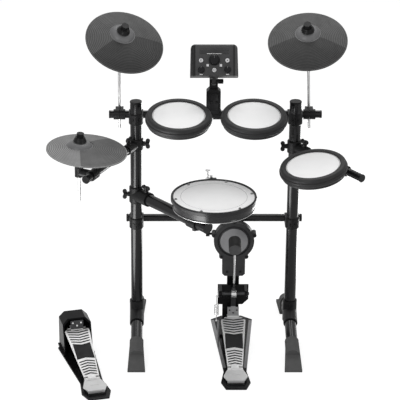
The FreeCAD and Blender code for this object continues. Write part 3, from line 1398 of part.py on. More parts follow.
def kick_middle():
    """Half-way through the housing's depth."""
    return PAD_FACE_Y + (KICK_RING_PROUD + KICK_RING_DEPTH + KICK_BACK_DEPTH) / 2


def kick_jack():
    """Bottom of the jack socket in the back of the neck, beside the tower."""
    back = PAD_FACE_Y + KICK_RING_DEPTH + KICK_BACK_DEPTH
    return V((TOWER_WIDTH + NECK_WIDTH) / 4, back - JACK_BOSS_LENGTH,
             (NECK_BOTTOM_Z + KICK_PAD_Z - KICK_RING_INNER_R) / 2)


def kick_knob_base():
    """Where the side knob's stem starts inside the left lobe."""
    left = lobe_places()[KICK_LOBES - 1]
    return V(left.x, kick_middle(), left.z)


def kick_knob():
    """The knob on the side of the ring."""
    stem = cyl(kick_knob_base(), -X_AXIS, KICK_KNOB_STEM_R, KICK_KNOB_STEM)
    head = cyl(kick_knob_base() - X_AXIS * KICK_KNOB_STEM, -X_AXIS, KICK_KNOB_R, KICK_KNOB_LENGTH)
    return fused([stem, head])


def kick_bolts():
    """Bolt heads on the pad's ring and neck."""
    front = PAD_FACE_Y + KICK_RING_PROUD
    return [cyl(V(at.x, front, at.z), -Y_AXIS, BOLT_HEAD_R, BOLT_LENGTH / 2) for at in lobe_places()]


def kick_pad():
    """The crowned white pad in its ring."""
    depth = KICK_RING_PROUD + KICK_RING_DEPTH
    face = crowned(KICK_RING_INNER_R - SEAT, 0, depth - KICK_PAD_CROWN, KICK_PAD_CROWN)
    return placed(face, turn(X_AXIS, 90, V(0, PAD_FACE_Y + depth, KICK_PAD_Z)))


def pedal_upright():
    """The pedal's frame: one upright, a wide crosshead and two bearing cheeks."""
    y = FRAME_Y
    head = prism([V(HEAD_LEFT, y, HEAD_BOTTOM_Z), V(HEAD_RIGHT - HEAD_ROUND, y, HEAD_BOTTOM_Z),
                  V(HEAD_RIGHT, y, HEAD_BOTTOM_Z + HEAD_ROUND), V(HEAD_RIGHT, y, HEAD_TOP_Z),
                  V(HEAD_LEFT, y, HEAD_TOP_Z)],
                 V(0, FRAME_THICK, 0))
    shaft = block(UPRIGHT_LEFT, UPRIGHT_RIGHT, y, y + FRAME_THICK, BASE_THICK, HEAD_TOP_Z)
    shoe = block(UPRIGHT_LEFT - FRAME_THICK, UPRIGHT_RIGHT + FRAME_THICK,
                 y - FRAME_THICK, y + 2 * FRAME_THICK,
                 BASE_THICK, BASE_THICK + FRAME_THICK)
    cheeks = []
    for x in (BEARING_LEFT, BEARING_RIGHT):
        cheeks.append(cyl_mid(V(x, AXLE_Y, AXLE_Z), X_AXIS, BEARING_R, BEARING_WIDTH))
        cheeks.append(block(x - BEARING_WIDTH / 2, x + BEARING_WIDTH / 2, AXLE_Y, y + FRAME_THICK / 2,
                            AXLE_Z - BEARING_R, AXLE_Z + BEARING_R))
    axle_bore = cyl_mid(V(0, AXLE_Y, AXLE_Z), X_AXIS, AXLE_R + AXLE_FIT, REACH)
    return fused([head, shaft, shoe] + cheeks).cut(axle_bore)


def spring_post():
    """The eye post on the floor plate that anchors the spring."""
    y = AXLE_Y - SPRING_LEVER
    stud = cyl(V(LEVER_X, y, BASE_THICK), Z_AXIS, SPRING_PIN_R + SPRING_WIRE_R, SPRING_EYE_Z - BASE_THICK)
    return fused([stud, cyl(V(LEVER_X, y, SPRING_EYE_Z), -X_AXIS, SPRING_PIN_R, SPRING_PIN_LENGTH)])


def beater_way():
    """The beater shaft's direction at rest."""
    lean = math.radians(BEATER_TILT)
    return V(0, -math.sin(lean), math.cos(lean))


def kick_cam():
    """Axle, cam, cam arm, beater shaft and spring lever, turning as one."""
    centre = V(0, AXLE_Y, AXLE_Z)
    left = BEARING_LEFT - BEARING_WIDTH / 2 - AXLE_OUT
    right = BEARING_RIGHT + BEARING_WIDTH / 2 + AXLE_OUT
    axle = cyl(V(left, AXLE_Y, AXLE_Z), X_AXIS, AXLE_R, right - left)
    cam = cyl_mid(centre, X_AXIS, CAM_R, CAM_WIDTH)
    half = CAM_WIDTH / 2
    arm = block(-half, half, AXLE_Y, AXLE_Y + CAM_ARM, AXLE_Z - CAM_ARM_WIDTH / 2, AXLE_Z + CAM_ARM_WIDTH / 2)
    shaft = cyl(centre, beater_way(), BEATER_ROD_R, BEATER_LENGTH + BEATER_R / 2)
    socket = cyl(centre, beater_way(), 2 * BEATER_ROD_R, 2 * CAM_R)
    tip = V(LEVER_X, AXLE_Y - SPRING_LEVER, AXLE_Z)
    lever = block(LEVER_X - SPRING_LEVER_THICK / 2, LEVER_X + SPRING_LEVER_THICK / 2, tip.y, AXLE_Y,
                  AXLE_Z - AXLE_R, AXLE_Z + AXLE_R)
    nose = cyl_mid(tip, X_AXIS, AXLE_R, SPRING_LEVER_THICK)
    boss = cyl_mid(V(LEVER_X, AXLE_Y, AXLE_Z), X_AXIS, 2 * AXLE_R, SPRING_LEVER_THICK)
    pin = cyl(tip, -X_AXIS, SPRING_PIN_R, SPRING_PIN_LENGTH)
    return fused([axle, cam, arm, shaft, socket, lever, nose, boss, pin])


def beater_head():
    """The beater: rounded below, flat on top, its face square to the pad when it strikes."""
    half = BEATER_HEAD_LENGTH / 2
    bottom = cyl_mid(V(), Z_AXIS, BEATER_R, BEATER_HEAD_LENGTH)
    top = block(-BEATER_R, BEATER_R, -BEATER_RISE, 0, -half, half)
    head = fused([bottom, top]).removeSplitter()
    ends = [edge for edge in head.Edges if edge.BoundBox.ZLength < SEAT]
    head = head.makeChamfer(BEATER_EDGE, ends)
    axle = V(0, AXLE_Y, AXLE_Z)
    head = placed(head, turn(X_AXIS, BEATER_STRIKE - 90, axle + beater_way() * BEATER_LENGTH))
    return head.cut(cyl(axle, beater_way(), BEATER_ROD_R + SEAT, BEATER_LENGTH + BEATER_R / 2 + SEAT))


def hat_housing():
    """The hi-hat pedal's gantry: two cheeks, a sloping front edge, a back and a top."""
    def shape(inset, y0, y1):
        half = HOUSING_HALF - inset
        top = HOUSING_HEIGHT - inset
        side = [V(half, y0, BASE_THICK), V(half, y0, top - HOUSING_CORNER), V(half - HOUSING_CORNER, y0, top)]
        return prism(mirrored(side), V(0, y1 - y0, 0))

    shell = shape(0, HOUSING_FRONT, HOUSING_BACK)
    inside = shape(HOUSING_WALL, HOUSING_FRONT, HOUSING_BACK - HOUSING_WALL)
    front = prism([V(-HOUSING_HALF, HOUSING_FRONT, BASE_THICK),
                   V(-HOUSING_HALF, HOUSING_TOP_FRONT, HOUSING_HEIGHT),
                   V(-HOUSING_HALF, HOUSING_FRONT, HOUSING_HEIGHT)], V(2 * HOUSING_HALF, 0, 0))
    ledges = [block(side * HOUSING_HALF - HOUSING_WALL, side * HOUSING_HALF + HOUSING_WALL, HOUSING_FRONT,
                    HOUSING_BACK, BASE_THICK, 2 * BASE_THICK) for side in (-1, 1)]
    return fused([shell.cut([inside, front])] + ledges)


def biarc(p0, t0, p1, t1):
    """Two arcs that join two points with given unit tangents."""
    span = p1 - p0
    total = t0 + t1
    spread = 2 * (1 - t0.dot(t1))
    along = span.dot(total)
    reach = (math.sqrt(along * along + spread * span.dot(span)) - along) / spread
    joint = (p0 + p1 + (t0 - t1) * reach) / 2
    return [arc_from(p0, t0, joint, 1), arc_from(joint, t1, p1, -1)]


def arc_from(start, tangent, end, sense):
    """An arc between two points from the unit tangent at its start (1) or its end (-1)."""
    chord = end - start
    bulge = tangent - chord * (tangent.dot(chord) / chord.dot(chord))
    lift = chord.Length / 2 * math.tan(tangent.getAngle(chord) / 2)
    return Part.Arc(start, (start + end) / 2 + bulge.normalize() * (lift * sense), end).toShape()


def coil_point(turns):
    """A point on the spring's coil and the unit tangent there."""
    angle = 2 * math.pi * turns
    climb = SPRING_PITCH / (2 * math.pi)
    point = V(SPRING_COIL_R * math.cos(angle), SPRING_COIL_R * math.sin(angle),
              SPRING_BOTTOM_Z + SPRING_PITCH * turns)
    tangent = V(-SPRING_COIL_R * math.sin(angle), SPRING_COIL_R * math.cos(angle), climb)
    return point, tangent.normalize()


def spring_path():
    """The spring's centre line: hook, coil and hook, about its own axis."""
    hook_r = SPRING_PIN_R + SPRING_WIRE_R + SLIP
    top_z = SPRING_BOTTOM_Z + SPRING_PITCH * SPRING_TURNS
    low_line = V(0, hook_r, SPRING_BOTTOM_Z - SPRING_EASE)
    high_line = V(0, -hook_r, top_z + SPRING_EASE)
    low_pin = V(0, hook_r, SPRING_EYE_Z)
    high_pin = V(0, -hook_r, AXLE_Z)
    drop = Z_AXIS * hook_r
    side = Y_AXIS * (2 * hook_r)
    edges = [Part.Arc(low_pin - side, low_pin - side / 2 - drop, low_pin).toShape(),
             Part.makeLine(low_pin, low_line)]
    start, start_way = coil_point(0)
    edges += biarc(low_line, Z_AXIS, start, start_way)
    for number in range(2 * SPRING_TURNS):
        p0, t0 = coil_point(number / 2)
        p1, t1 = coil_point((number + 1) / 2)
        edges += biarc(p0, t0, p1, t1)
    end, end_way = coil_point(SPRING_TURNS)
    edges += biarc(end, end_way, high_line, Z_AXIS)
    edges += [Part.makeLine(high_line, high_pin),
              Part.Arc(high_pin, high_pin + side / 2 + drop, high_pin + side).toShape()]
    return edges


def spring_self_gap(edges):
    """The least gap between the spring's wire and itself, on points along its centre line."""
    points = []
    for edge in edges:
        points += edge.discretize(SPRING_SAMPLES)[:-1]
    run = [0.0]
    for first, second in zip(points, points[1:]):
        run.append(run[-1] + first.distanceToPoint(second))
    skip = math.pi * SPRING_COIL_R
    least = REACH
    for i, first in enumerate(points):
        for j in range(i + 1, len(points)):
            if run[j] - run[i] > skip:
                least = min(least, first.distanceToPoint(points[j]))
    return least - 2 * SPRING_WIRE_R


def pedal_spring():
    """The return spring: one unbroken wire from the eye post to the lever."""
    edges = spring_path()
    print("spring least self gap %.2f mm" % spring_self_gap(edges))
    path = Part.Wire(edges)
    start = edges[0].valueAt(edges[0].FirstParameter)
    way = edges[0].tangentAt(edges[0].FirstParameter)
    wire = path.makePipeShell([Part.Wire([Part.makeCircle(SPRING_WIRE_R, start, way)])], True, False)
    return placed(wire, turn(Z_AXIS, 0, V(SPRING_X, AXLE_Y - SPRING_LEVER, 0)))


def rack_nodes():
    """Nodes of the rack that stand still."""
    crashes = [(LEFT_CRASH_X, LEFT_CRASH_LEAN), (RIGHT_CRASH_X, RIGHT_CRASH_LEAN)]
    return {
        "rack_posts": posts(),
        "crossbars": crossbars(),
        "tube_caps": tube_caps(),
        "crossbar_clamps": crossbar_clamps(),
        "clamp_bolts": clamp_bolts() + [placed(bolt, kick_frame()) for bolt in kick_bolts() + [kick_knob()]],
        "leg_hubs": leg_hubs(),
        "leg_tubes": legs(),
        "rubber_feet": rubber_feet(),
        "cymbal_rod_clamps": [rod_clamp(x, lean) for x, lean in crashes],
        "module_upright": [module_upright()],
    }


def arm_nodes():
    """Nodes of the three arms, their sleeves and bolts."""
    left = -POST_HALF_SPACING
    right = POST_HALF_SPACING
    return {
        "hat_arm_clamps": [arm_sleeve(left, HAT_ARM_Z, HAT_ARM_ANGLE, HAT_SLEEVE_HEIGHT, BAR_R),
                           hat_rod_clamp(),
                           arm_bolt(left, HAT_ARM_Z, HAT_ARM_ANGLE, BAR_R)],
        "hat_arm": arm_tube(left, HAT_ARM_Z, HAT_ARM_ANGLE, BAR_R, BAR_WALL, HAT_ARM_LENGTH),
        "hat_wing_bolt": [post_bolt(left, HAT_ARM_Z, HAT_ARM_ANGLE)],
        "tom_arm_clamp": [arm_sleeve(right, TOM_ARM_Z, TOM_ARM_ANGLE, TOM_SLEEVE_HEIGHT, BAR_R),
                          arm_bolt(right, TOM_ARM_Z, TOM_ARM_ANGLE, BAR_R)],
        "tom_arm": arm_tube(right, TOM_ARM_Z, TOM_ARM_ANGLE, BAR_R, BAR_WALL, TOM_ARM_LENGTH),
        "tom_wing_bolt": [post_bolt(right, TOM_ARM_Z, TOM_ARM_ANGLE)],
        "snare_arm_clamps": [arm_sleeve(left, SNARE_ARM_Z, SNARE_ARM_ANGLE, SNARE_SLEEVE_HEIGHT, POST_R),
                             snare_holder(),
                             arm_bolt(left, SNARE_ARM_Z, SNARE_ARM_ANGLE, POST_R)],
        "snare_arm": arm_tube(left, SNARE_ARM_Z, SNARE_ARM_ANGLE, POST_R, POST_WALL, SNARE_ARM_LENGTH),
        "snare_wing_bolt": [post_bolt(left, SNARE_ARM_Z, SNARE_ARM_ANGLE)],
    }


def pad_nodes():
    """Nodes of the cymbals, toms and snare."""
    nodes = {}
    crashes = {
        "left_crash": crash(LEFT_CRASH_X, LEFT_CRASH_LEAN, LEFT_CRASH_RISE, LEFT_CRASH_TILT, LEFT_CRASH_TURN),
        "right_crash": crash(RIGHT_CRASH_X, RIGHT_CRASH_LEAN, RIGHT_CRASH_RISE,
                             RIGHT_CRASH_TILT, RIGHT_CRASH_TURN),
        "hat": hat(),
    }
    for name, (rod, plate, nut) in crashes.items():
        nodes[name + "_rod"] = rod
        nodes[name + "_cymbal"] = plate
        nodes[name + "_topper"] = nut
    for name, carrier, side in (("left_tom", rack_tom_frame(-1), -1), ("right_tom", rack_tom_frame(1), 1),
                                ("floor_tom", floor_tom_frame(), -1)):
        rim, head, tray = tom(carrier, side)
        nodes[name + "_body"] = rim + tray
        nodes[name + "_head"] = head
    nodes["snare_shell"] = [snare_shell(), snare_sensor()]
    nodes["snare_hoop"] = [snare_hoop()] + snare_lugs()
    nodes["snare_mesh"] = [snare_mesh()]
    nodes["snare_rod"] = [l_rod(), rear_bracket(), rear_screw()]
    return nodes


def module_nodes():
    """Nodes of the sound module and its controls."""
    names = ["module_dial", "left_knob", "right_knob"]
    nodes = {name: [knob(*sizes)] for name, sizes in zip(names, knobs())}
    nodes["module_case"] = [module_front(), module_back(), module_board()]
    nodes["module_thumb_screw"] = [thumb_screw()]
    for name, at in zip(["left_button", "right_button", "centre_button"], round_buttons()):
        nodes[name] = [round_button(at)]
    for name, at in zip(["left_square_button", "right_square_button"], square_buttons()):
        nodes[name] = [square_button(at)]
    return nodes


def pedal_nodes():
    """Nodes of the kick tower and both pedals."""
    kick = kick_frame()
    hat = hat_pedal_frame()
    kick_base = [pedal_base(BASE_TOE_HALF, KICK_BASE_TOE, KICK_BASE_TAIL), hinge_pin(), spring_post()]
    hat_base = [pedal_base(HAT_TOE_HALF, HAT_BASE_TOE, HAT_BASE_TAIL), hinge_pin()]
    return {
        "pedal_bases": [placed(s, kick) for s in kick_base] + [placed(s, hat) for s in hat_base],
        "heel_plates": [placed(heel_plate(), frame) for frame in (kick, hat)],
        "kick_tower": [placed(kick_tower(), kick)],
        "kick_housing": [placed(kick_housing(), kick)],
        "kick_pad": [placed(kick_pad(), kick)],
        "pedal_upright": [placed(pedal_upright(), kick)],
        "pedal_spring": [placed(pedal_spring(), kick)],
        "kick_footboard": [placed(s, kick) for s in footboard(kick_link())],
        "kick_cam": [placed(kick_cam(), kick)],
        "beater_head": [placed(beater_head(), kick)],
        "hat_housing": [placed(hat_housing(), hat)],
        "hat_footboard": [placed(s, hat) for s in footboard(hat_strap())],
    }


def all_nodes():
    """Every node of the kit, in the rack's frame."""
    nodes = {}
    for group in (rack_nodes(), arm_nodes(), pad_nodes(), module_nodes(), pedal_nodes()):
        nodes.update(group)
    return nodes


def origin_shift(nodes):
    """The move that puts the bottom centre of the whole kit at the origin."""
    box = FreeCAD.BoundBox()
    for solids in nodes.values():
        for solid in solids:
            box.add(solid.optimalBoundingBox(False))
    return V(-box.Center.x, -box.Center.y, -box.ZMin)


def main():
    """Build every node and write it as a STEP file."""
    os.makedirs("parts", exist_ok=True)
    nodes = all_nodes()
    shift = origin_shift(nodes)
    print("origin shift %.3f %.3f %.3f mm" % (shift.x, shift.y, shift.z))
    for name, solids in nodes.items():
        shape = solids[0] if len(solids) == 1 else Part.makeCompound(solids)
        shape = placed(shape, FreeCAD.Placement(shift, FreeCAD.Rotation()))
        shape.exportStep("parts/" + name + ".step")


if __name__ == "__main__":
    main()
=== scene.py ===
"""Looks of an electronic drum kit: finishes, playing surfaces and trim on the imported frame."""

import json
import logging
import math
from dataclasses import dataclass, field, replace
from enum import Enum
from typing import Callable, Dict, List, Optional, Sequence, Tuple

import bpy
from mathutils import Euler, Matrix, Vector


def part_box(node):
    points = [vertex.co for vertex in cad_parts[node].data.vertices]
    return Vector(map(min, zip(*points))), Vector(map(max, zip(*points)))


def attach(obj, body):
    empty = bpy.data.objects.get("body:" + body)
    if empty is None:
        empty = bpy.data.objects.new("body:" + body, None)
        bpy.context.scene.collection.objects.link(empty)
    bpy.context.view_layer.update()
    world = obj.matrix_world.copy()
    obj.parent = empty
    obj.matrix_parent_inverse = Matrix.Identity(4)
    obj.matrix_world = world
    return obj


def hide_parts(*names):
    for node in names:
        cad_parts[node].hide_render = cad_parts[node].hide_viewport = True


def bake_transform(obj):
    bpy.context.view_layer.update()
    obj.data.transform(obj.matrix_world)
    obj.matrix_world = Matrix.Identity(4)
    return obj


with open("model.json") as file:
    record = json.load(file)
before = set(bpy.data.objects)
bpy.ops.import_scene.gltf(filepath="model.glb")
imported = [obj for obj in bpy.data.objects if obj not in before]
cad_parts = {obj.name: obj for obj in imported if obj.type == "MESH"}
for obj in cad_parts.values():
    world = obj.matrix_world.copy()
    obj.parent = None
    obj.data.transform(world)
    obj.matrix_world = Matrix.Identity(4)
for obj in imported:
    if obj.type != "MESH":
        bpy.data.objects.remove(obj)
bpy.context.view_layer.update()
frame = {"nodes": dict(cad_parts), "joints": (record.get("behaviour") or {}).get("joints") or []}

LOG = logging.getLogger("drum_kit")
Color = Tuple[float, float, float]
Point = Tuple[float, float, float]
Span = Tuple[float, float]
Socket = bpy.types.NodeSocket
Mesh = bpy.types.Object
Test = Callable[[Vector, Vector], bool]

MM = 0.001
SMOOTH_ANGLE = 35.0  # edges flatter than this, in degrees, are shaded smooth
MERGE_REACH = 1e-6
ROUND_STEPS = 2
FACING = 0.9  # least part of a face's normal along the way that it looks
DISC_SIDES = 96
HUB_STEP = 0.4  # flat middle of a crowned disc, in steps of its swelling
GLOSS_SPREAD = 0.12
GLOSS_SCALE = 3.0  # how much finer the gloss varies than the colour
NOISE_RANGE: Span = (0.3, 0.7)  # where most of the noise lies
MIX_NUMBERS = slice(2, 4)  # a Mix node's two number sockets
MIX_COLORS = slice(6, 8)  # a Mix node's two colour sockets
MIX_NUMBER_OUT, MIX_COLOR_OUT = 0, 2


class Axis(Enum):
    """Axes that a brushed finish can run along, as scales of its noise."""

    Z = (1.0, 1.0, 0.04)


class Part(Enum):
    """Parts of a mesh that an edit can pick, as select modes."""

    POINTS = (True, False, False)
    FACES = (False, False, True)


class Slot(Enum):
    """Names of the record's material slots."""

    PLASTIC = "black_plastic"
    STEEL = "bright_steel"
    PAD = "white_pad"
    MESH = "white_mesh"
    KNOB = "knob_black"
    BUTTON = "button_white"
    RUBBER = "foot_rubber"
    KICK = "kick_face"
    BEATER = "beater_plastic"


class Graph:
    """A material's shader graph with short helpers for its nodes."""

    def __init__(self, name: str) -> None:
        """Start a material with a principled shader.

        Args:
            name: The material's name.
        """
        self.material = bpy.data.materials.new(name)
        self.material.use_nodes = True
        self.tree = self.material.node_tree
        self.shader = self.tree.nodes["Principled BSDF"]

    def add(self, kind: str, **settings: object) -> bpy.types.Node:
        """Add a node and set its properties.

        Args:
            kind: Blender's node type.
            settings: Properties of the node.

        Returns:
            The new node.
        """
        node = self.tree.nodes.new(kind)
        for key, value in settings.items():
            setattr(node, key, value)
        return node

    def feed(self, socket: Socket, value: object) -> None:
        """Link a socket to another, or set its value.

        Args:
            socket: The socket to feed.
            value: A socket, a plain value, or None to leave it alone.
        """
        if isinstance(value, bpy.types.NodeSocket):
            self.tree.links.new(value, socket)
        elif value is not None:
            socket.default_value = value

    def math(self, operation: str, first: object, second: object = None) -> Socket:
        """Work out one number from one or two.

        Args:
            operation: A Math node operation.
            first: Number or socket.
            second: Number or socket, where the operation takes one.

        Returns:
            The result's socket.
        """
        node = self.add("ShaderNodeMath", operation=operation)
        self.feed(node.inputs[0], first)
        self.feed(node.inputs[1], second)
        return node.outputs[0]

    def inside(self, low: object, value: object, high: object) -> Socket:
        """1 where a value lies between two limits, else 0."""
        above = self.math("GREATER_THAN", value, low)
        return self.math("MULTIPLY", above, self.math("LESS_THAN", value, high))

    def map_range(self, value: object, source: Span, target: Span = (0.0, 1.0),
                  kind: str = "LINEAR") -> Socket:
        """Map one range of a value onto another.

        Args:
            value: Number or socket that is read.
            source: The range that is read.
            target: The range that it becomes.
            kind: Interpolation between the ends.

        Returns:
            A number socket.
        """
        node = self.add("ShaderNodeMapRange", interpolation_type=kind)
        self.feed(node.inputs["Value"], value)
        for key, number in zip(("From Min", "From Max", "To Min", "To Max"), (*source, *target)):
            node.inputs[key].default_value = number
        return node.outputs[0]

    def faded(self, low: float, value: object, high: float, soft: float) -> Socket:
        """1 between two limits, falling to 0 over a soft edge at both.

        Args:
            low: Lower limit.
            value: Number or socket that is read.
            high: Upper limit.
            soft: Width of the edge.

        Returns:
            A number socket.
        """
        edge = (-soft / 2, soft / 2)
        rise = self.map_range(value, about(low, edge), kind="SMOOTHSTEP")
        fall = self.map_range(value, about(high, edge), (1.0, 0.0), kind="SMOOTHSTEP")
        return self.math("MULTIPLY", rise, fall)

    def object_point(self) -> Socket:
        """The surface point in the object's frame."""
        return self.add("ShaderNodeTexCoord").outputs["Object"]

    def local_point(self, place: Matrix) -> List[Socket]:
        """The surface point in a placed frame, in metres.

        Args:
            place: Frame to read the point in.

        Returns:
            Sockets of its x, y and z.
        """
        turned = self.add("ShaderNodeMapping", vector_type="TEXTURE")
        self.feed(turned.inputs["Vector"], self.object_point())
        turned.inputs["Location"].default_value = place.to_translation()
        turned.inputs["Rotation"].default_value = place.to_euler("XYZ")
        parts = self.add("ShaderNodeSeparateXYZ")
        self.feed(parts.inputs[0], turned.outputs[0])
        return list(parts.outputs)

    def radius(self, x: Socket, y: Socket) -> Socket:
        """Distance from the local Z axis."""
        return self.math("SQRT", self.math("ADD", self.math("MULTIPLY", x, x), self.math("MULTIPLY", y, y)))

    def wave(self, value: Socket, length: float) -> Socket:
        """A wave of a length along a value, from -1 to 1."""
        return self.math("SINE", self.math("MULTIPLY", value, 2 * math.pi / length))

    def noise(self, scale: float, detail: float = 3.0, stretch: Optional[Axis] = None) -> Socket:
        """Smooth noise on the object's own coordinates.

        Args:
            scale: Noise scale per metre.
            detail: Octaves of detail.
            stretch: Axis that the noise is drawn out along.

        Returns:
            A number socket from 0 to 1.
        """
        point = self.object_point()
        if stretch is not None:
            node = self.add("ShaderNodeMapping")
            self.feed(node.inputs["Vector"], point)
            node.inputs["Scale"].default_value = stretch.value
            point = node.outputs[0]
        texture = self.add("ShaderNodeTexNoise")
        self.feed(texture.inputs["Vector"], point)
        texture.inputs["Scale"].default_value = scale
        texture.inputs["Detail"].default_value = detail
        return texture.outputs[0]

    def spread(self, cloud: Socket, low: float, high: float) -> Socket:
        """Stretch noise over a range."""
        return self.map_range(cloud, NOISE_RANGE, (low, high))

    def mix(self, factor: object, first: object, second: object) -> Socket:
        """Blend two colours.

        Args:
            factor: 0 for the first, 1 for the second.
            first: Colour or socket.
            second: Colour or socket.

        Returns:
            A colour socket.
        """
        node = self.add("ShaderNodeMix", data_type="RGBA")
        self.feed(node.inputs["Factor"], factor)
        for socket, value in zip(node.inputs[MIX_COLORS], (first, second)):
            self.feed(socket, rgba(value))
        return node.outputs[MIX_COLOR_OUT]

    def blend(self, factor: object, first: object, second: object) -> Socket:
        """Blend two numbers.

        Args:
            factor: 0 for the first, 1 for the second.
            first: Number or socket.
            second: Number or socket.

        Returns:
            A number socket.
        """
        node = self.add("ShaderNodeMix", data_type="FLOAT")
        self.feed(node.inputs["Factor"], factor)
        for socket, value in zip(node.inputs[MIX_NUMBERS], (first, second)):
            self.feed(socket, value)
        return node.outputs[MIX_NUMBER_OUT]

    def mottled(self, cloud: Socket, color: Color, amount: float) -> Socket:
        """A colour that noise makes darker and lighter by an amount."""
        return self.mix(self.spread(cloud, 0.0, 1.0), shaded(color, 1 - amount), shaded(color, 1 + amount))


def rgba(value: object) -> object:
    """A colour with its alpha, or the socket that was given."""
    return value if isinstance(value, bpy.types.NodeSocket) else (*value, 1.0)


def shaded(color: Color, factor: float) -> Color:
    """A colour made darker or lighter by a factor."""
    return tuple(min(1.0, part * factor) for part in color)


@dataclass(frozen=True)
class Patch:
    """A part of a surface with its own look, bounded by a box and a radius in a placed frame."""

    color: Color
    place: Matrix = field(default_factory=Matrix)
    x: Optional[Span] = None
    y: Optional[Span] = None
    z: Optional[Span] = None
    r: Optional[Span] = None
    roughness: float = 0.4
    metallic: float = 0.0
    soft: float = 0.0
    mottle: float = 0.08
    mottle_scale: float = 60.0

    def mask(self, graph: Graph) -> Socket:
        """1 on the patch, else 0.

        Args:
            graph: The material's graph.

        Returns:
            A number socket.
        """
        x, y, z = graph.local_point(self.place)
        inside: object = 1.0
        for span, value in ((self.x, x), (self.y, y), (self.z, z)):
            if span is not None:
                low, high = span
                edge = (graph.faded(low, value, high, self.soft) if self.soft
                        else graph.inside(low, value, high))
                inside = graph.math("MULTIPLY", inside, edge)
        if self.r is not None:
            band = graph.inside(self.r[0], graph.radius(x, y), self.r[1])
            inside = graph.math("MULTIPLY", inside, band)
        return inside

    def paint(self, graph: Graph) -> Socket:
        """The patch's slightly mottled colour."""
        return graph.mottled(graph.noise(self.mottle_scale), self.color, self.mottle)


@dataclass(frozen=True)
class Finish:
    """A surface finish: a mottled colour, uneven gloss, a fine grain and patches of other looks."""

    name: str
    color: Color
    roughness: float
    metallic: float = 0.0
    specular: float = 0.16
    mottle: float = 0.14
    mottle_scale: float = 18.0
    grain_scale: float = 1400.0
    grain: float = 0.12
    grain_depth: float = 0.0002
    brushed: Optional[Axis] = None
    patches: Tuple[Patch, ...] = ()

    def paint(self, graph: Graph) -> Socket:
        """The colour's socket."""
        cloud = graph.noise(self.mottle_scale, detail=4.0, stretch=self.brushed)
        return graph.mottled(cloud, self.color, self.mottle)

    def gloss(self, graph: Graph) -> Socket:
        """The roughness socket."""
        cloud = graph.noise(self.mottle_scale * GLOSS_SCALE, detail=5.0, stretch=self.brushed)
        return graph.spread(cloud, self.roughness * (1 - GLOSS_SPREAD), self.roughness * (1 + GLOSS_SPREAD))

    def relief(self, graph: Graph) -> Socket:
        """The height socket that the bump reads."""
        return graph.noise(self.grain_scale, detail=2.0, stretch=self.brushed)

    def material(self) -> bpy.types.Material:
        """The finished material, made once.

        Returns:
            A node material.
        """
        known = bpy.data.materials.get(self.name)
        if known is not None:
            return known
        graph = Graph(self.name)
        shader = graph.shader
        color, roughness, metallic = self.paint(graph), self.gloss(graph), self.metallic
        partly_metal = any(patch.metallic != self.metallic for patch in self.patches)
        for patch in self.patches:
            mask = patch.mask(graph)
            color = graph.mix(mask, color, patch.paint(graph))
            roughness = graph.blend(mask, roughness, patch.roughness)
            if partly_metal:
                metallic = graph.blend(mask, metallic, patch.metallic)
        shader.inputs["Specular IOR Level"].default_value = self.specular
        graph.feed(shader.inputs["Base Color"], color)
        graph.feed(shader.inputs["Roughness"], roughness)
        graph.feed(shader.inputs["Metallic"], metallic)
        bump = graph.add("ShaderNodeBump")
        bump.inputs["Strength"].default_value = self.grain
        bump.inputs["Distance"].default_value = self.grain_depth
        graph.feed(bump.inputs["Height"], self.relief(graph))
        graph.feed(shader.inputs["Normal"], bump.outputs[0])
        return graph.material


@dataclass(frozen=True)
class CymbalRubber(Finish):
    """Grooved rubber with a darker strike zone and a satin bell."""

    place: Matrix = field(default_factory=Matrix)
    offset: float = 25 * MM
    bell_r: float = 41 * MM
    groove: float = 5.6 * MM
    # painted shade in the grooves and painted light on the ridges, as factors on the colour
    groove_shade_and_light: Span = (0.5, 1.5)
    zone_half: float = 66.0
    zone_edge: float = 124 * MM
    zone_shade: float = 0.46
    bell_color: Color = (0.14, 0.14, 0.143)
    bell_gloss: float = 0.34

    def bell(self, graph: Graph) -> Socket:
        """1 on the bell, else 0."""
        x, y, _ = graph.local_point(self.place)
        return graph.math("LESS_THAN", graph.radius(x, y), self.bell_r)

    def zone(self, graph: Graph) -> Socket:
        """1 in the strike zone, else 0.

        Args:
            graph: The material's graph.

        Returns:
            A number socket.
        """
        x, y, _ = graph.local_point(self.place)
        cosine = graph.math("DIVIDE", graph.math("MULTIPLY", y, -1.0), graph.radius(x, y))
        sector = graph.math("GREATER_THAN", cosine, math.cos(math.radians(self.zone_half)))
        return graph.math("MULTIPLY", sector, graph.math("LESS_THAN", self.rim(graph), self.zone_edge))

    def rim(self, graph: Graph) -> Socket:
        """Distance from the disc's middle."""
        x, y, _ = graph.local_point(self.place)
        return graph.radius(x, graph.math("ADD", y, self.offset))

    def wave(self, graph: Graph) -> Socket:
        """The grooves' height, from -1 to 1."""
        return graph.wave(self.rim(graph), self.groove)

    def paint(self, graph: Graph) -> Socket:
        """The rubber's colour, with painted shade in the grooves and painted light on the ridges, and darker
        in the strike zone.

        Args:
            graph: The material's graph.

        Returns:
            A colour socket.
        """
        shade = graph.blend(self.zone(graph), 1.0, self.zone_shade)
        height = graph.math("MULTIPLY", graph.math("ADD", self.wave(graph), 1.0), 0.5)
        # painted shade in the grooves and painted light on the ridges
        sunk = graph.blend(height, *self.groove_shade_and_light)
        level = graph.math("MULTIPLY", shade, sunk)
        tone = graph.add("ShaderNodeVectorMath", operation="SCALE")
        graph.feed(tone.inputs[0], super().paint(graph))
        graph.feed(tone.inputs["Scale"], level)
        return graph.mix(self.bell(graph), tone.outputs[0], self.bell_color)

    def gloss(self, graph: Graph) -> Socket:
        """The roughness socket: the bell is smoother."""
        return graph.blend(self.bell(graph), super().gloss(graph), self.bell_gloss)

    def relief(self, graph: Graph) -> Socket:
        """Concentric grooves round the disc's middle."""
        quiet = graph.math("SUBTRACT", 1.0, self.bell(graph))
        return graph.math("MULTIPLY", self.wave(graph), quiet)


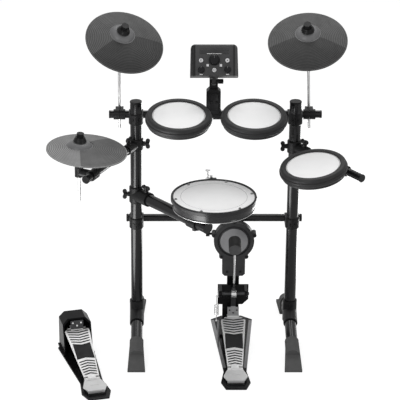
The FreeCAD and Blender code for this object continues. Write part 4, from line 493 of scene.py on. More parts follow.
@dataclass(frozen=True)
class DrumSkin(Finish):
    """A white playing surface with a fine weave and thin ring lines."""

    place: Matrix = field(default_factory=Matrix)
    lines: Tuple[float, ...] = ()
    line_width: float = 0.7 * MM
    line_color: Color = (0.3, 0.3, 0.3)
    weave: float = 1.1 * MM

    def paint(self, graph: Graph) -> Socket:
        """The skin's colour with its ring lines.

        Args:
            graph: The material's graph.

        Returns:
            A colour socket.
        """
        color = super().paint(graph)
        x, y, _ = graph.local_point(self.place)
        reach = graph.radius(x, y)
        for line in self.lines:
            band = graph.inside(line - self.line_width, reach, line + self.line_width)
            color = graph.mix(band, color, self.line_color)
        return color

    def relief(self, graph: Graph) -> Socket:
        """A square weave."""
        x, y, _ = graph.local_point(self.place)
        return graph.math("MULTIPLY", graph.wave(x, self.weave), graph.wave(y, self.weave))


@dataclass(frozen=True)
class TreadMetal(Finish):
    """Satin cast metal whose grooves are filled with dark rubber."""

    place: Matrix = field(default_factory=Matrix)
    heel_half: float = 25 * MM
    toe_half: float = 41 * MM
    heel_y: float = 9 * MM
    toe_y: float = 246 * MM
    floor_z: float = 4.6 * MM
    brim_z: float = 6.1 * MM
    margin: float = 3.5 * MM
    filler: Color = (0.012, 0.012, 0.013)

    def paint(self, graph: Graph) -> Socket:
        """The metal's colour, dark in the sunk grooves.

        Args:
            graph: The material's graph.

        Returns:
            A colour socket.
        """
        x, y, z = graph.local_point(self.place)
        slope = (self.toe_half - self.heel_half) / (self.toe_y - self.heel_y)
        half = graph.math("ADD", graph.math("MULTIPLY", y, slope),
                          self.heel_half - slope * self.heel_y - self.margin)
        across = graph.math("LESS_THAN", graph.math("ABSOLUTE", x), half)
        along = graph.inside(self.heel_y * 2, y, self.toe_y)
        deep = graph.inside(self.floor_z, z, self.brim_z)
        sunk = graph.math("MULTIPLY", deep, graph.math("MULTIPLY", across, along))
        return graph.mix(sunk, super().paint(graph), self.filler)


CHROME_TONE: Color = (0.75, 0.75, 0.75)
INK: Color = (0.012, 0.012, 0.013)
LEGEND: Color = (0.8, 0.8, 0.8)
DARK_STEEL: Color = (0.07, 0.07, 0.072)
TRIM_TONE: Color = (0.5, 0.5, 0.5)
LUG_TONE: Color = (0.3, 0.3, 0.3)
SIGN_TONE: Color = (0.12, 0.12, 0.12)
# painted light: the lighter grey of the beater's lit end
LIT_END_TONE: Color = (0.055, 0.055, 0.056)
# painted reflection: the grey that the glossy black wings of the base plates show
WING_SHEEN_TONE: Color = (0.24, 0.24, 0.245)

TUBE = Finish("tube_paint", (0.006, 0.006, 0.0066), 0.2, specular=0.32, grain=0.001)
CLAMP = Finish("clamp_plastic", (0.009, 0.009, 0.0095), 0.4, grain=0.22, grain_scale=2200.0)
RUBBER = Finish("moulded_foot", (0.086, 0.086, 0.086), 0.7, grain=0.25, grain_scale=1100.0)
RIM = Finish("pad_rim", (0.022, 0.022, 0.0225), 0.46, specular=0.2, grain=0.2, grain_scale=1600.0)
STEEL = Finish("rod_steel", (0.72, 0.72, 0.72), 0.3, metallic=1.0, mottle=0.06, grain=0.01, brushed=Axis.Z)
BOLT = Finish("bolt_steel", (0.006, 0.006, 0.0064), 0.3, grain=0.05)
CHROME = Finish("cam_chrome", CHROME_TONE, 0.14, metallic=1.0, mottle=0.05, grain=0.04)
SHELL = Finish("shell_gloss", (0.011, 0.011, 0.012), 0.2, specular=0.4, grain=0.03)
HOOP = Finish("hoop_paint", (0.01, 0.01, 0.011), 0.3, specular=0.3)
MODULE = Finish("module_plastic", (0.05, 0.05, 0.051), 0.42, grain=0.2, grain_scale=2400.0)
BUTTON = Finish("button_plastic", (0.6, 0.6, 0.61), 0.35, mottle=0.04, grain=0.05)
KNOB = Finish("knob_plastic", (0.008, 0.008, 0.009), 0.36, grain=0.1)
POINTER = Finish("pointer_paint", (0.16, 0.16, 0.16), 0.5, mottle=0.05)
WINDOW = Finish("window_plastic", (0.034, 0.034, 0.035), 0.3, specular=0.2, grain=0.03)
PEDAL = Finish("pedal_paint", (0.005, 0.005, 0.0055), 0.22, specular=0.14, grain=0.02)
HOUSING = Finish("housing_gloss", (0.003, 0.003, 0.0034), 0.16, specular=0.07, grain=0.02)
KICK_RUBBER = Finish("kick_ring_plastic", (0.034, 0.034, 0.035), 0.42, grain=0.2)
KICK_FACE = Finish("kick_face_rubber", (0.2, 0.2, 0.205), 0.42, grain=0.15, grain_scale=1500.0)
BEATER = Finish("beater_felt", (0.016, 0.016, 0.016), 0.6, grain=0.4, grain_scale=700.0)
HEEL = Finish("heel_metal", (0.72, 0.72, 0.72), 0.36, metallic=0.3, specular=0.4, mottle=0.08, grain=0.25,
              grain_scale=900.0)
GRIP = Finish("grip_rubber", (0.018, 0.018, 0.019), 0.6, grain=0.5, grain_scale=620.0)


def joint(name: str) -> Dict[str, object]:
    """The record's joint of that name."""
    return next(entry for entry in frame["joints"] if entry["name"] == name)


def middle(node: str) -> Vector:
    """The middle of a node's box at rest."""
    low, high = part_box(node)
    return (Vector(low) + Vector(high)) / 2


def placing(point: Sequence[float], *turns: Tuple[str, float]) -> Matrix:
    """A frame at a point, turned about its own axes in order.

    Args:
        point: Where the frame stands.
        turns: Pairs of an axis and an angle in degrees.

    Returns:
        The frame's matrix.
    """
    matrix = Matrix.Translation(Vector(point))
    for axis, angle in turns:
        matrix = matrix @ Matrix.Rotation(math.radians(angle), 4, axis)
    return matrix


def about(centre: float, span: Span) -> Span:
    """A span moved to lie about a number."""
    return centre + span[0], centre + span[1]


def any_face(at: Vector, way: Vector) -> bool:
    """True for every face."""
    return True


def looks_up(at: Vector, way: Vector) -> bool:
    """True for a face that looks up."""
    return way.z > FACING


def looks_down(at: Vector, way: Vector) -> bool:
    """True for a face that looks down."""
    return way.z < -FACING


def dress(finish: Finish, *nodes: str) -> None:
    """Give carried-over nodes a finish.

    Args:
        finish: The finish.
        nodes: Names of the nodes.
    """
    for name in nodes:
        for slot in frame["nodes"][name].material_slots:
            slot.material = finish.material()
        LOG.info("dressed %s as %s", name, finish.name)


class Bench:
    """Modelling steps shared by the new pieces."""

    @staticmethod
    def start(name: str, operator: Callable[..., object], **sizes: object) -> Mesh:
        """Add a primitive with nothing else selected.

        Args:
            name: The piece's name.
            operator: The operator that adds the primitive.
            sizes: The operator's own sizes.

        Returns:
            The new object.
        """
        bpy.ops.object.select_all(action="DESELECT")
        operator(**sizes)
        piece = bpy.context.object
        piece.name = name
        piece.data.name = name
        return piece

    @staticmethod
    def pick(piece: Mesh, wanted: Test, part: Part = Part.FACES) -> None:
        """Select a piece's faces or points by their place and normal, and go to edit mode.

        Args:
            piece: The object.
            wanted: Test on a place and a normal.
            part: What is picked.
        """
        bpy.ops.object.mode_set(mode="EDIT")
        bpy.context.tool_settings.mesh_select_mode = part.value
        bpy.ops.mesh.select_all(action="DESELECT")
        bpy.ops.object.mode_set(mode="OBJECT")
        if part is Part.FACES:
            places = [(face, face.center) for face in piece.data.polygons]
        else:
            places = [(vertex, vertex.co) for vertex in piece.data.vertices]
        for item, at in places:
            item.select = wanted(at, item.normal)
        bpy.ops.object.mode_set(mode="EDIT")

    @staticmethod
    def block(name: str, size: Point) -> Mesh:
        """A block to shape further.

        Args:
            name: The piece's name.
            size: Its width, length and height.

        Returns:
            The new object.
        """
        piece = Bench.start(name, bpy.ops.mesh.primitive_cube_add, size=1.0)
        Bench.pick(piece, any_face)
        bpy.ops.transform.resize(value=size)
        bpy.ops.object.mode_set(mode="OBJECT")
        return piece

    @staticmethod
    def sink(piece: Mesh, wanted: Test, *steps: Span) -> None:
        """Inset faces in steps.

        Args:
            piece: The object.
            wanted: Test on a face's middle and normal.
            steps: The width and depth of each inset.
        """
        Bench.pick(piece, wanted)
        for width, depth in steps:
            bpy.ops.mesh.inset(thickness=width, depth=depth)
        bpy.ops.object.mode_set(mode="OBJECT")

    @staticmethod
    def round_edges(piece: Mesh, width: float) -> None:
        """Round a piece's sharp edges.

        Args:
            piece: The object.
            width: Width of the rounding.
        """
        bevel = piece.modifiers.new("round", "BEVEL")
        bevel.width = width
        bevel.segments = ROUND_STEPS
        bevel.limit_method = "ANGLE"
        bpy.ops.object.modifier_apply(modifier=bevel.name)

    @staticmethod
    def twin(piece: Mesh, name: str) -> Mesh:
        """A copy of a piece with a mesh of its own.

        Args:
            piece: The object.
            name: The copy's name.

        Returns:
            The copy.
        """
        copy = piece.copy()
        copy.data = piece.data.copy()
        copy.name = copy.data.name = name
        bpy.context.scene.collection.objects.link(copy)
        return copy

    @staticmethod
    def close(piece: Mesh) -> None:
        """Merge a piece's doubled points and turn its faces outwards.

        Args:
            piece: The object, which is left selected alone.
        """
        bpy.ops.object.select_all(action="DESELECT")
        bpy.context.view_layer.objects.active = piece
        piece.select_set(True)
        bpy.ops.object.mode_set(mode="EDIT")
        bpy.ops.mesh.select_all(action="SELECT")
        bpy.ops.mesh.remove_doubles(threshold=MERGE_REACH)
        bpy.ops.mesh.normals_make_consistent(inside=False)
        bpy.ops.object.mode_set(mode="OBJECT")

    @staticmethod
    def settle(piece: Mesh, place: Matrix, finish: Finish, body: str, slot: Slot) -> None:
        """Close a piece: outward faces, its place in its mesh, its finish and its body.

        Args:
            piece: The object.
            place: Where it goes.
            finish: Its finish.
            body: The body it rides on.
            slot: The record's material slot; not used.
        """
        Bench.close(piece)
        piece.matrix_world = place
        bpy.ops.object.transform_apply(location=True, rotation=True, scale=True)
        bpy.ops.object.shade_smooth_by_angle(angle=math.radians(SMOOTH_ANGLE))
        piece.data.materials.clear()
        piece.data.materials.append(finish.material())
        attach(piece, body)
        LOG.info("made %s on %s", piece.name, body)

    @staticmethod
    def crowned_disc(name: str, radius: float, thick: float, crown: float, rings: int = 8) -> Mesh:
        """A round disc, its rim's top edge at height 0, that swells to a crown.

        Args:
            name: The piece's name.
            radius: Disc radius.
            thick: Depth of the rim.
            crown: Rise of the middle over the rim.
            rings: Steps of the swelling.

        Returns:
            The disc.
        """
        piece = Bench.start(name, bpy.ops.mesh.primitive_circle_add, vertices=DISC_SIDES, radius=radius,
                            fill_type="NGON", location=(0, 0, -thick))
        bpy.ops.object.transform_apply(location=True)
        bpy.ops.object.mode_set(mode="EDIT")
        bpy.ops.mesh.select_all(action="SELECT")
        bpy.ops.mesh.extrude_region_move(TRANSFORM_OT_translate={"value": (0, 0, thick)})
        bpy.ops.object.mode_set(mode="OBJECT")
        Bench.pick(piece, lambda at, way: at.z > -thick / 2 and abs(way.z) > FACING)
        step = radius / (rings + HUB_STEP)
        for ring in range(rings):
            outer = 1 - step * ring / radius
            inner = 1 - step * (ring + 1) / radius
            bpy.ops.mesh.inset(thickness=step, depth=0.0)
            bpy.ops.transform.translate(value=(0, 0, crown * (outer * outer - inner * inner)))
        bpy.ops.object.mode_set(mode="OBJECT")
        return piece


@dataclass
class Rack:
    """Posts, bars, clamps and feet, and the cover on the module's upright."""

    tubes: Tuple[str, ...] = ("rack_posts", "crossbars", "leg_tubes", "hat_arm", "tom_arm", "snare_arm")
    clamps: Tuple[str, ...] = ("tube_caps", "crossbar_clamps", "leg_hubs", "cymbal_rod_clamps",
                               "module_upright", "hat_arm_clamps", "tom_arm_clamp", "snare_arm_clamps",
                               "hat_wing_bolt", "tom_wing_bolt", "snare_wing_bolt")
    cover: Point = (30 * MM, 62 * MM, 2.4 * MM)
    cover_drop: float = 67 * MM
    cover_out: float = 15 * MM
    cover_lift: float = 0.8 * MM
    cover_sink: Tuple[Span, ...] = ((2.5 * MM, 0.0), (0.6 * MM, -0.9 * MM))
    cover_round: float = 0.4 * MM
    bolt_r: float = 4 * MM
    bolt_length: float = 3 * MM
    bolt_sides: int = 24
    bolt_u: float = 8.5 * MM
    bolt_lift: float = 2 * MM
    bolt_sink: Tuple[Span, ...] = ((1.7 * MM, 0.0), (0.1 * MM, -1.4 * MM))
    bolt_round: float = 0.25 * MM

    def cover_place(self, across: float, out: float) -> Matrix:
        """A frame on the front of the module's upright, facing the player.

        Args:
            across: Distance to the right of the upright's middle.
            out: Distance out of its front.

        Returns:
            The frame.
        """
        pivot = Vector(joint("module_tilt")["pos_m"])
        return placing(pivot + Vector((across, -self.cover_out - out, -self.cover_drop)), ("X", 90.0))

    def upright_cover(self) -> None:
        """Make the moulded cover on the module's upright and its two bolts."""
        plate = Bench.block("upright_cover", self.cover)
        Bench.sink(plate, looks_up, *self.cover_sink)
        Bench.round_edges(plate, self.cover_round)
        Bench.settle(plate, self.cover_place(0.0, self.cover_lift), CLAMP, "rack", Slot.PLASTIC)
        bolt = Bench.start("upright_bolt_1", bpy.ops.mesh.primitive_cylinder_add, vertices=self.bolt_sides,
                           radius=self.bolt_r, depth=self.bolt_length)
        Bench.sink(bolt, looks_up, *self.bolt_sink)
        Bench.round_edges(bolt, self.bolt_round)
        twin = Bench.twin(bolt, "upright_bolt_2")
        for piece, across in ((twin, self.bolt_u), (bolt, -self.bolt_u)):
            Bench.settle(piece, self.cover_place(across, self.bolt_lift), BOLT, "rack", Slot.STEEL)

    def build(self) -> None:
        """Dress the rack's nodes and add the upright's cover."""
        self.upright_cover()
        dress(TUBE, *self.tubes)
        dress(CLAMP, *self.clamps)
        dress(BOLT, "clamp_bolts")
        dress(RUBBER, "rubber_feet")


@dataclass
class Cymbals:
    """The three cymbal pads on their rods: lean, turn and tilt of each, in degrees, and its tone."""

    leans: Dict[str, Point] = field(default_factory=lambda: {
        "left_crash": (0.0, 25.7, 32.4), "right_crash": (-2.2, -6.3, 27.0), "hat": (0.0, 70.0, 5.0)})
    # the hi-hat's tone is set far lighter than the crashes' to stand in for its sheen: painted sheen
    tones: Dict[str, float] = field(default_factory=lambda: {
        "left_crash": 0.06, "right_crash": 0.058, "hat": 0.2})

    def build(self) -> None:
        """Dress each cymbal in its own frame."""
        for name, (lean, turn, tilt) in self.leans.items():
            place = placing(joint(name + "_rock")["pos_m"], ("Y", lean), ("Z", turn), ("X", tilt))
            dress(CymbalRubber(name + "_rubber", (self.tones[name],) * 3, 0.5, specular=0.2, grain=0.3,
                               grain_depth=0.0003, place=place), name + "_cymbal")
            dress(CLAMP, name + "_topper")
            dress(STEEL, name + "_rod")


@dataclass
class Toms:
    """The three rubber-rimmed tom pads and their white heads."""

    radius: float = 84.3 * MM
    thick: float = 6 * MM
    crown: float = 1.2 * MM
    line_in: float = 2.4 * MM
    tilt: float = 9.5
    turns: Dict[str, float] = field(default_factory=lambda: {
        "left_tom": 0.0, "right_tom": 0.0, "floor_tom": -53.8})

    def build(self) -> None:
        """Make the heads and dress the rims."""
        for name, turn in self.turns.items():
            dress(RIM, name + "_body")
            place = placing(middle(name + "_head"), ("Z", turn), ("X", self.tilt))
            place = place @ Matrix.Translation((0, 0, self.thick / 2 - self.crown / 2))
            skin = DrumSkin(name + "_skin", (0.89, 0.89, 0.89), 0.45, mottle=0.02, grain=0.25, place=place,
                            lines=(self.radius - self.line_in,))
            head = Bench.crowned_disc(name + "_skin", self.radius, self.thick - self.crown / 2, self.crown)
            Bench.settle(head, place, skin, name, Slot.PAD)
            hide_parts(name + "_head")


@dataclass
class Snare:
    """The mesh-headed snare on its arm."""

    mesh_r: float = 127 * MM
    mesh_thick: float = 2 * MM
    mesh_crown: float = 0.4 * MM
    line_r: float = 104 * MM
    bracket: Span = (613.8 * MM, 640.1 * MM)
    lug_r: float = 126.4 * MM
    trim: float = 1.6 * MM

    def build(self) -> None:
        """Make the mesh head and dress the shell, hoop and rod."""
        centre = placing(middle("snare_mesh"))
        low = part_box("snare_shell")[0][2]
        bright = Patch(TRIM_TONE, z=(low, low + self.trim), roughness=0.25, metallic=0.8)
        dress(replace(SHELL, name="shell_trim", patches=(bright,)), "snare_shell")
        lugs = Patch(LUG_TONE, centre, r=(0.0, self.lug_r), roughness=0.3, metallic=0.8)
        dress(replace(HOOP, patches=(lugs,)), "snare_hoop")
        dress(replace(STEEL, name="stand_steel", patches=(Patch(INK, z=self.bracket),)), "snare_rod")
        place = centre @ Matrix.Translation((0, 0, self.mesh_thick / 2))
        skin = DrumSkin("mesh_skin", (0.93, 0.93, 0.93), 0.5, mottle=0.02, grain=0.5, grain_depth=0.0003,
                        place=place, lines=(self.line_r,), line_width=0.5 * MM, weave=1.4 * MM)
        head = Bench.crowned_disc("mesh_head", self.mesh_r, self.mesh_thick, self.mesh_crown)
        Bench.settle(head, place, skin, "snare", Slot.MESH)
        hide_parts("snare_mesh")


@dataclass
class SoundModule:
    """The tilting control box with its window, legends and pointers."""

    tilt: float = 60.0
    window: Point = (94 * MM, 10 * MM, 0.8 * MM)
    window_v: float = 27 * MM
    window_sink: Tuple[Span, ...] = ((0.9 * MM, 0.0), (0.5 * MM, -0.3 * MM))
    window_round: float = 0.15 * MM
    window_line: Tuple[Span, ...] = ((-23 * MM, 23 * MM), (20.2 * MM, 22.0 * MM), (-2 * MM, 1 * MM))
    knob_line: Tuple[Span, ...] = ((-5 * MM, 5 * MM), (-16.0 * MM, -14.2 * MM), (-1 * MM, 1 * MM))
    dial_ring: Span = (0.0, 18 * MM)
    dial_ring_z: Span = (-1 * MM, 1 * MM)
    # painted shade down both rounded sides of the case and a painted highlight band at its right edge
    painted_side_shade_and_light: Tuple[Tuple[float, Span], ...] = (
        (0.008, (-72.5 * MM, -60.0 * MM)), (0.016, (60.0 * MM, 67.0 * MM)), (0.08, (68.0 * MM, 72.0 * MM)))
    painted_side_soft: float = 5 * MM
    knob_tops: Dict[str, Span] = field(default_factory=lambda: {
        "left_knob": (10.4 * MM, 9.6 * MM), "right_knob": (10.4 * MM, 9.6 * MM),
        "dial": (11.4 * MM, 14.2 * MM)})
    pointer_width: float = 1.5 * MM
    pointer_thick: float = 0.8 * MM
    pointer_length: float = 0.6  # of the knob's reach, as is the next
    pointer_middle: float = 0.68
    pointer_taper: Point = (0.6, 0.94, 1.0)
    pointer_round: float = 0.12 * MM
    button_signs: Dict[str, Span] = field(default_factory=lambda: {
        "left_button": (2.0 * MM, 3.4 * MM), "right_button": (0.0, 2.4 * MM),
        "centre_button": (2.6 * MM, 4.0 * MM)})

    def face(self, point: Sequence[float]) -> Matrix:
        """The face's frame at a point."""
        return placing(point, ("X", self.tilt))

    def legends(self) -> Tuple[Patch, ...]:
        """Plain lines under the window and the knobs, a ring round the dial, and painted shade and a painted
        highlight down the case's rounded sides.

        Returns:
            Patches on the case.
        """
        dial = self.face(joint("dial_turn")["pos_m"])
        marks = [Patch(LEGEND, dial, *self.window_line),
                 Patch(INK, dial, r=self.dial_ring, z=self.dial_ring_z)]
        for name in ("left_knob", "right_knob"):
            marks.append(Patch(LEGEND, self.face(joint(name + "_turn")["pos_m"]), *self.knob_line))
        # painted shade and painted highlight bands down the case's sides
        for tone, span in self.painted_side_shade_and_light:
            marks.append(Patch((tone, tone, tone), dial, x=span, soft=self.painted_side_soft))
        return tuple(marks)

    def inlay(self) -> None:
        """Make the dark window over the controls."""
        piece = Bench.block("module_window", self.window)
        Bench.sink(piece, looks_up, *self.window_sink)
        Bench.round_edges(piece, self.window_round)
        place = self.face(joint("dial_turn")["pos_m"])
        place = place @ Matrix.Translation((0, self.window_v, self.window[2] / 4))
        Bench.settle(piece, place, WINDOW, "module", Slot.KNOB)

    def pointer(self, body: str, top: float, reach: float) -> None:
        """Make the pointer bar on a knob's top.

        Args:
            body: The knob's body.
            top: Height of the knob's top over its joint.
            reach: Radius at which the bar ends.
        """
        size = (self.pointer_width, reach * self.pointer_length, self.pointer_thick)
        piece = Bench.block(body + "_pointer", size)
        Bench.pick(piece, looks_up)
        bpy.ops.transform.resize(value=self.pointer_taper)
        bpy.ops.object.mode_set(mode="OBJECT")
        Bench.round_edges(piece, self.pointer_round)
        place = self.face(joint(body + "_turn")["pos_m"])
        place = place @ Matrix.Translation((0, reach * self.pointer_middle, top))
        Bench.settle(piece, place, POINTER, body, Slot.BUTTON)

    def build(self) -> None:
        """Dress the case and its controls, and add the window and pointers."""
        dress(replace(MODULE, patches=self.legends()), "module_case")
        dress(KNOB, "module_dial", "left_knob", "right_knob", "module_thumb_screw")
        dress(BUTTON, "left_square_button", "right_square_button")
        for name, ring in self.button_signs.items():
            sign = Patch(SIGN_TONE, self.face(middle(name)), r=ring)
            dress(replace(BUTTON, name=name + "_plastic", patches=(sign,)), name)
        self.inlay()
        for body, (top, reach) in self.knob_tops.items():
            self.pointer(body, top, reach)


@dataclass(frozen=True)
class TopPlate:
    """The plate at the top of a footboard and its three screws, in the pedal's level frame."""

    y: float
    z: float
    half: float
    screws_up: float
    tone: Color
    screw_tone: Color


@dataclass
class Pedals:
    """Kick tower, beater pedal and hi-hat pedal."""

    slope: float = 15.0
    yaws: Dict[str, float] = field(default_factory=lambda: {"kick": 0.0, "hat": 14.4})
    grip_half: float = 29.1 * MM
    grip_y: float = 129 * MM
    grip_length: Span = (62 * MM, 76 * MM)  # along its middle and along its sides
    grip_top: float = 6.4 * MM
    grip_thick: float = 0.9 * MM
    grip_sink: Span = (2 * MM, -0.3 * MM)
    grip_round: float = 0.15 * MM
    grip_spine: float = 0.1 * MM
    tops: Dict[str, TopPlate] = field(default_factory=lambda: {
        "kick": TopPlate(240 * MM, 68.4 * MM, 19 * MM, 20.6 * MM, (0.26, 0.26, 0.265), INK),
        "hat": TopPlate(225 * MM, 64.4 * MM, 21 * MM, 23.4 * MM, (0.045, 0.045, 0.047), (0.6, 0.6, 0.6))})
    plate_y: Span = (-5 * MM, 9 * MM)
    plate_z: Span = (5 * MM, 40 * MM)
    strap_y: Span = (-10 * MM, 40 * MM)
    strap_z: Span = (40 * MM, 130 * MM)
    screw_r: float = 2.7 * MM
    screw_deep: float = 9 * MM
    screw_up: float = 5 * MM
    screw_across: float = 0.65  # of the plate's half width
    pad_r: float = 45.6 * MM
    pad_thick: float = 14 * MM
    pad_crown: float = 2 * MM
    # painted shade in the groove round the kick pad, as a radius span
    groove_shade_band: Span = (50 * MM, 54.5 * MM)
    beater_r: float = 20.5 * MM
    beater_length: float = 52 * MM
    beater_sides: int = 64
    beater_sink: Tuple[Span, ...] = ((3 * MM, 0.0), (0.6 * MM, -0.6 * MM))
    beater_round: float = 1.6 * MM
    lit_end_band: float = 1.5 * MM
    beater_reach: float = 191 * MM
    beater_tilt: float = 8.0
    beater_strike: float = 13.4
    cam_out: float = 30 * MM
    cam_side: Span = (-22 * MM, 22 * MM)
    cam_hub: Span = (13 * MM, 42 * MM)
    spring_still: float = 140 * MM
    spring_hook: float = 181.5 * MM
    post_z: Span = (22 * MM, 200 * MM)
    wing: float = 11 * MM
    wing_lap: float = 1 * MM
    wing_x: float = 37.5 * MM
    wing_start: float = 10 * MM
    wing_y: Span = (24 * MM, 366 * MM)
    wing_splay: float = 5.17

    def level(self, name: str) -> Matrix:
        """A pedal's frame on its hinge, without the board's slope."""
        return placing(joint(name + "_board_press")["pos_m"], ("Z", self.yaws[name]))

    def board(self, name: str) -> Matrix:
        """A footboard's own frame."""
        return self.level(name) @ Matrix.Rotation(math.radians(self.slope), 4, "X")

    def plates(self, name: str) -> Tuple[Patch, ...]:
        """The strap or link plate on a board and its three screws.

        Args:
            name: The pedal.

        Returns:
            Patches on the footboard.
        """
        top, level = self.tops[name], self.level(name)
        plate = Patch(top.tone, level, y=about(top.y, self.plate_y), z=about(top.z, self.plate_z),
                      metallic=0.4)
        strap = Patch(INK, level, y=about(top.y, self.strap_y), z=about(top.z, self.strap_z))
        marks = [plate, strap]
        for across, up in ((-1, 1), (1, 1), (0, -1)):
            spot = (across * top.half * self.screw_across, top.y, top.z + top.screws_up + up * self.screw_up)
            marks.append(Patch(top.screw_tone, level @ placing(spot, ("X", 90.0)), r=(0.0, self.screw_r),
                               z=(0.0, self.screw_deep), roughness=0.3))
        return tuple(marks)

    def grip(self, name: str) -> None:
        """Make the rubber grip panel on a footboard.

        Args:
            name: The pedal.
        """
        short, long = self.grip_length
        piece = Bench.start(name + "_grip", bpy.ops.mesh.primitive_grid_add, x_subdivisions=2,
                            y_subdivisions=6, size=1.0)
        Bench.pick(piece, any_face)
        bpy.ops.transform.resize(value=(2 * self.grip_half, short, 1.0))
        Bench.pick(piece, lambda at, way: abs(at.x) > self.grip_spine, Part.POINTS)
        bpy.ops.transform.resize(value=(1.0, long / short, 1.0))
        bpy.ops.mesh.select_all(action="SELECT")
        bpy.ops.mesh.extrude_region_move(TRANSFORM_OT_translate={"value": (0, 0, self.grip_thick)})
        bpy.ops.object.mode_set(mode="OBJECT")
        Bench.sink(piece, lambda at, way: looks_up(at, way) and at.z > self.grip_thick / 2, self.grip_sink)
        Bench.round_edges(piece, self.grip_round)
        place = self.board(name) @ Matrix.Translation((0, self.grip_y, self.grip_top))
        Bench.settle(piece, place, GRIP, name + "_board", Slot.RUBBER)

    def kick_pad(self) -> None:
        """Make the soft kick pad in its ring."""
        low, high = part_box("kick_pad")
        front = Vector(((low[0] + high[0]) / 2, low[1] + self.pad_crown, (low[2] + high[2]) / 2))
        piece = Bench.crowned_disc("kick_face", self.pad_r, self.pad_thick, self.pad_crown)
        Bench.settle(piece, placing(front, ("X", 90.0)), KICK_FACE, "rack", Slot.KICK)
        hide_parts("kick_pad")

    def ring(self) -> None:
        """Dress the kick pad's housing, with painted shade in the groove round the pad."""
        # painted shade in the groove round the pad
        groove = Patch(INK, placing(middle("kick_pad"), ("X", 90.0)), r=self.groove_shade_band)
        dress(replace(KICK_RUBBER, name="kick_ring_groove_shade", patches=(groove,)), "kick_housing")

    def beater(self) -> None:
        """Make the round felt beater: a striking end towards the pad, and its end towards the player painted
        lighter, as painted light on that lit end.
        """
        piece = Bench.start("felt_beater", bpy.ops.mesh.primitive_cylinder_add, vertices=self.beater_sides,
                            radius=self.beater_r, depth=self.beater_length)
        Bench.sink(piece, looks_down, *self.beater_sink)
        Bench.round_edges(piece, self.beater_round)
        axle = Vector(joint("beater_swing")["pos_m"])
        lean = math.radians(self.beater_tilt)
        centre = axle + Vector((0, -math.sin(lean), math.cos(lean))) * self.beater_reach
        place = placing(centre, ("X", self.beater_strike - 90))
        # painted light on the beater's end towards the player
        lit_end = Patch(LIT_END_TONE, place, z=(-self.beater_length, self.lit_end_band - self.beater_length / 2))
        felt = replace(BEATER, name="felt_with_lit_end", patches=(lit_end,))
        Bench.settle(piece, place, felt, "beater", Slot.BEATER)
        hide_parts("beater_head")

    def cam(self) -> None:
        """Dress the cam: a bright rod over dark steel."""
        axle = Vector(joint("beater_swing")["pos_m"])
        dark = Patch(DARK_STEEL, roughness=0.3, metallic=0.8)
        marks = [replace(dark, x=about(axle.x + side * self.cam_out, self.cam_side)) for side in (-1, 1)]
        marks.append(replace(dark, z=about(axle.z, self.cam_hub)))
        dress(replace(CHROME, name="cam_and_rod", patches=tuple(marks)), "kick_cam")

    def spring(self) -> None:
        """A return spring like the solid one, left in the solid one's place."""
        solid = frame["nodes"]["pedal_spring"]
        piece = bpy.data.objects.new("return_spring", solid.data.copy())
        bpy.context.scene.collection.objects.link(piece)
        Bench.close(piece)
        bpy.ops.object.shade_smooth_by_angle(angle=math.radians(SMOOTH_ANGLE))
        piece.data.materials.clear()
        piece.data.materials.append(CHROME.material())
        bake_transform(piece)
        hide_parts("pedal_spring")
        LOG.info("made %s between rack and beater", piece.name)

    def bases(self) -> None:
        """Dress the base plates: a painted grey reflection on the wings beside the kick board, and a bright
        spring post.
        """
        level = self.level("kick")
        marks = [Patch(CHROME_TONE, z=self.post_z, roughness=0.16, metallic=1.0)]
        # painted reflection on each glossy wing
        for side in (-1, 1):
            edge = level @ placing((side * self.wing_x, self.wing_start, 0), ("Z", -side * self.wing_splay))
            span = (-self.wing, self.wing_lap) if side > 0 else (-self.wing_lap, self.wing)
            marks.append(Patch(WING_SHEEN_TONE, edge, x=span, y=self.wing_y, roughness=0.3, metallic=0.5))
        dress(replace(PEDAL, name="base_paint", patches=tuple(marks)), "pedal_bases")

    def build(self) -> None:
        """Dress the pedals, and make the grips, the kick pad's face, the spring and the beater."""
        for name in self.yaws:
            tread = TreadMetal(name + "_tread", (0.66, 0.66, 0.66), 0.4, metallic=0.3, specular=0.4,
                               mottle=0.06, grain=0.2, grain_scale=900.0, place=self.board(name),
                               patches=self.plates(name))
            dress(tread, name + "_footboard")
            self.grip(name)
        self.kick_pad()
        self.bases()
        dress(HEEL, "heel_plates")
        dress(PEDAL, "pedal_upright", "kick_tower")
        dress(HOUSING, "hat_housing")
        self.ring()
        self.cam()
        self.spring()
        self.beater()


@dataclass(frozen=True)
class Lamp:
    """A rectangular soft light: its place, the point it faces, its width and height, and its watts."""

    name: str
    point: Point
    aim: Point
    size: Span
    power: float

    def hang(self) -> None:
        """Add the light to the scene, unseen by the camera."""
        data = bpy.data.lights.new(self.name, "AREA")
        data.shape = "RECTANGLE"
        data.size, data.size_y = self.size
        data.energy = self.power
        lamp = bpy.data.objects.new(self.name, data)
        lamp.location = self.point
        lamp.rotation_euler = (Vector(self.aim) - Vector(self.point)).to_track_quat("-Z", "Y").to_euler()
        lamp.visible_camera = False
        bpy.context.scene.collection.objects.link(lamp)


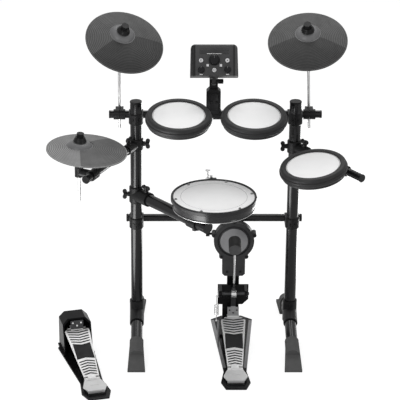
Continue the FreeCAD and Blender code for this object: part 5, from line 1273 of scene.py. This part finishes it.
@dataclass
class Studio:
    """Floor, lights, background and camera."""

    eye: Point = (-0.141514, -5.750667, 3.0927)
    pitch: float = 66.1
    lens: float = 175.03
    sensor: float = 36.0
    shift: float = 0.0985
    far: float = 100.0
    ambient: float = 0.4
    floor_size: float = 30.0
    floor_drop: float = 0.6 * MM
    floor_tone: Color = (0.9, 0.9, 0.9)
    floor_seen: Color = (0.3, 0.3, 0.3)
    floor_glow: float = 0.84
    floor_rough: float = 0.9
    lamps: Tuple[Lamp, ...] = (
        Lamp("key", (-1.8, -2.8, 3.2), (0.0, 0.0, 0.6), (1.6, 2.0), 56.0),
        Lamp("top", (0.2, 1.3, 3.4), (0.0, 0.0, 0.5), (2.6, 1.8), 46.0),
        Lamp("fill", (2.6, -2.0, 1.6), (0.0, 0.0, 0.5), (0.6, 2.2), 16.0),
        Lamp("front_strip", (-0.85, -1.1, 0.01), (-0.85, -1.1, 1.0), (0.6, 2.0), 38.0),
        Lamp("back_strip", (0.65, 1.4, 0.01), (0.65, 1.4, 1.0), (0.6, 1.8), 24.0))

    def background(self) -> None:
        world = bpy.data.worlds.new("studio")
        bpy.context.scene.world = world
        world.use_nodes = True
        tree = world.node_tree
        ambient = tree.nodes["Background"]
        ambient.inputs["Color"].default_value = (1.0, 1.0, 1.0, 1.0)
        ambient.inputs["Strength"].default_value = self.ambient
        white = tree.nodes.new("ShaderNodeBackground")
        path = tree.nodes.new("ShaderNodeLightPath")
        seen = path.outputs["Is Camera Ray"]
        for ray in ("Is Glossy Ray", "Is Transmission Ray"):
            either = tree.nodes.new("ShaderNodeMath")
            either.operation = "MAXIMUM"
            tree.links.new(seen, either.inputs[0])
            tree.links.new(path.outputs[ray], either.inputs[1])
            seen = either.outputs[0]
        choose = tree.nodes.new("ShaderNodeMixShader")
        tree.links.new(seen, choose.inputs["Fac"])
        tree.links.new(ambient.outputs[0], choose.inputs[1])
        tree.links.new(white.outputs[0], choose.inputs[2])
        tree.links.new(choose.outputs[0], tree.nodes["World Output"].inputs["Surface"])

    def floor(self) -> None:
        """A plain pale floor that reads as white to the camera and keeps a soft shadow."""
        bpy.ops.object.select_all(action="DESELECT")
        bpy.ops.mesh.primitive_plane_add(size=self.floor_size, location=(0, 0, -self.floor_drop))
        slab = bpy.context.object
        slab.name = "floor"
        graph = Graph("floor_white")
        shader = graph.shader
        seen = graph.add("ShaderNodeLightPath").outputs["Is Camera Ray"]
        graph.feed(shader.inputs["Base Color"], graph.mix(seen, self.floor_tone, self.floor_seen))
        shader.inputs["Roughness"].default_value = self.floor_rough
        shader.inputs["Specular IOR Level"].default_value = 0.0
        shader.inputs["Emission Color"].default_value = (1.0, 1.0, 1.0, 1.0)
        graph.feed(shader.inputs["Emission Strength"], graph.math("MULTIPLY", seen, self.floor_glow))
        slab.data.materials.append(graph.material)

    def camera(self) -> None:
        """The photograph's viewpoint."""
        data = bpy.data.cameras.new("camera")
        data.lens = self.lens
        data.sensor_width = self.sensor
        data.shift_x = self.shift
        data.clip_end = self.far
        eye = bpy.data.objects.new("camera", data)
        eye.location = self.eye
        eye.rotation_euler = Euler((math.radians(self.pitch), 0, 0))
        bpy.context.scene.collection.objects.link(eye)
        bpy.context.scene.camera = eye

    def build(self) -> None:
        """Set up the whole studio."""
        bpy.context.scene.view_settings.view_transform = "Standard"
        self.background()
        self.floor()
        for lamp in self.lamps:
            lamp.hang()
        self.camera()


def main() -> None:
    """Build every sub-assembly in order."""
    logging.basicConfig(level=logging.INFO, format="%(message)s")
    bpy.ops.object.select_all(action="DESELECT")
    Studio().build()
    for group in (Rack(), Cymbals(), Toms(), Snare(), SoundModule(), Pedals()):
        group.build()
        LOG.info("finished %s", type(group).__name__)


if __name__ == "__main__":
    main()
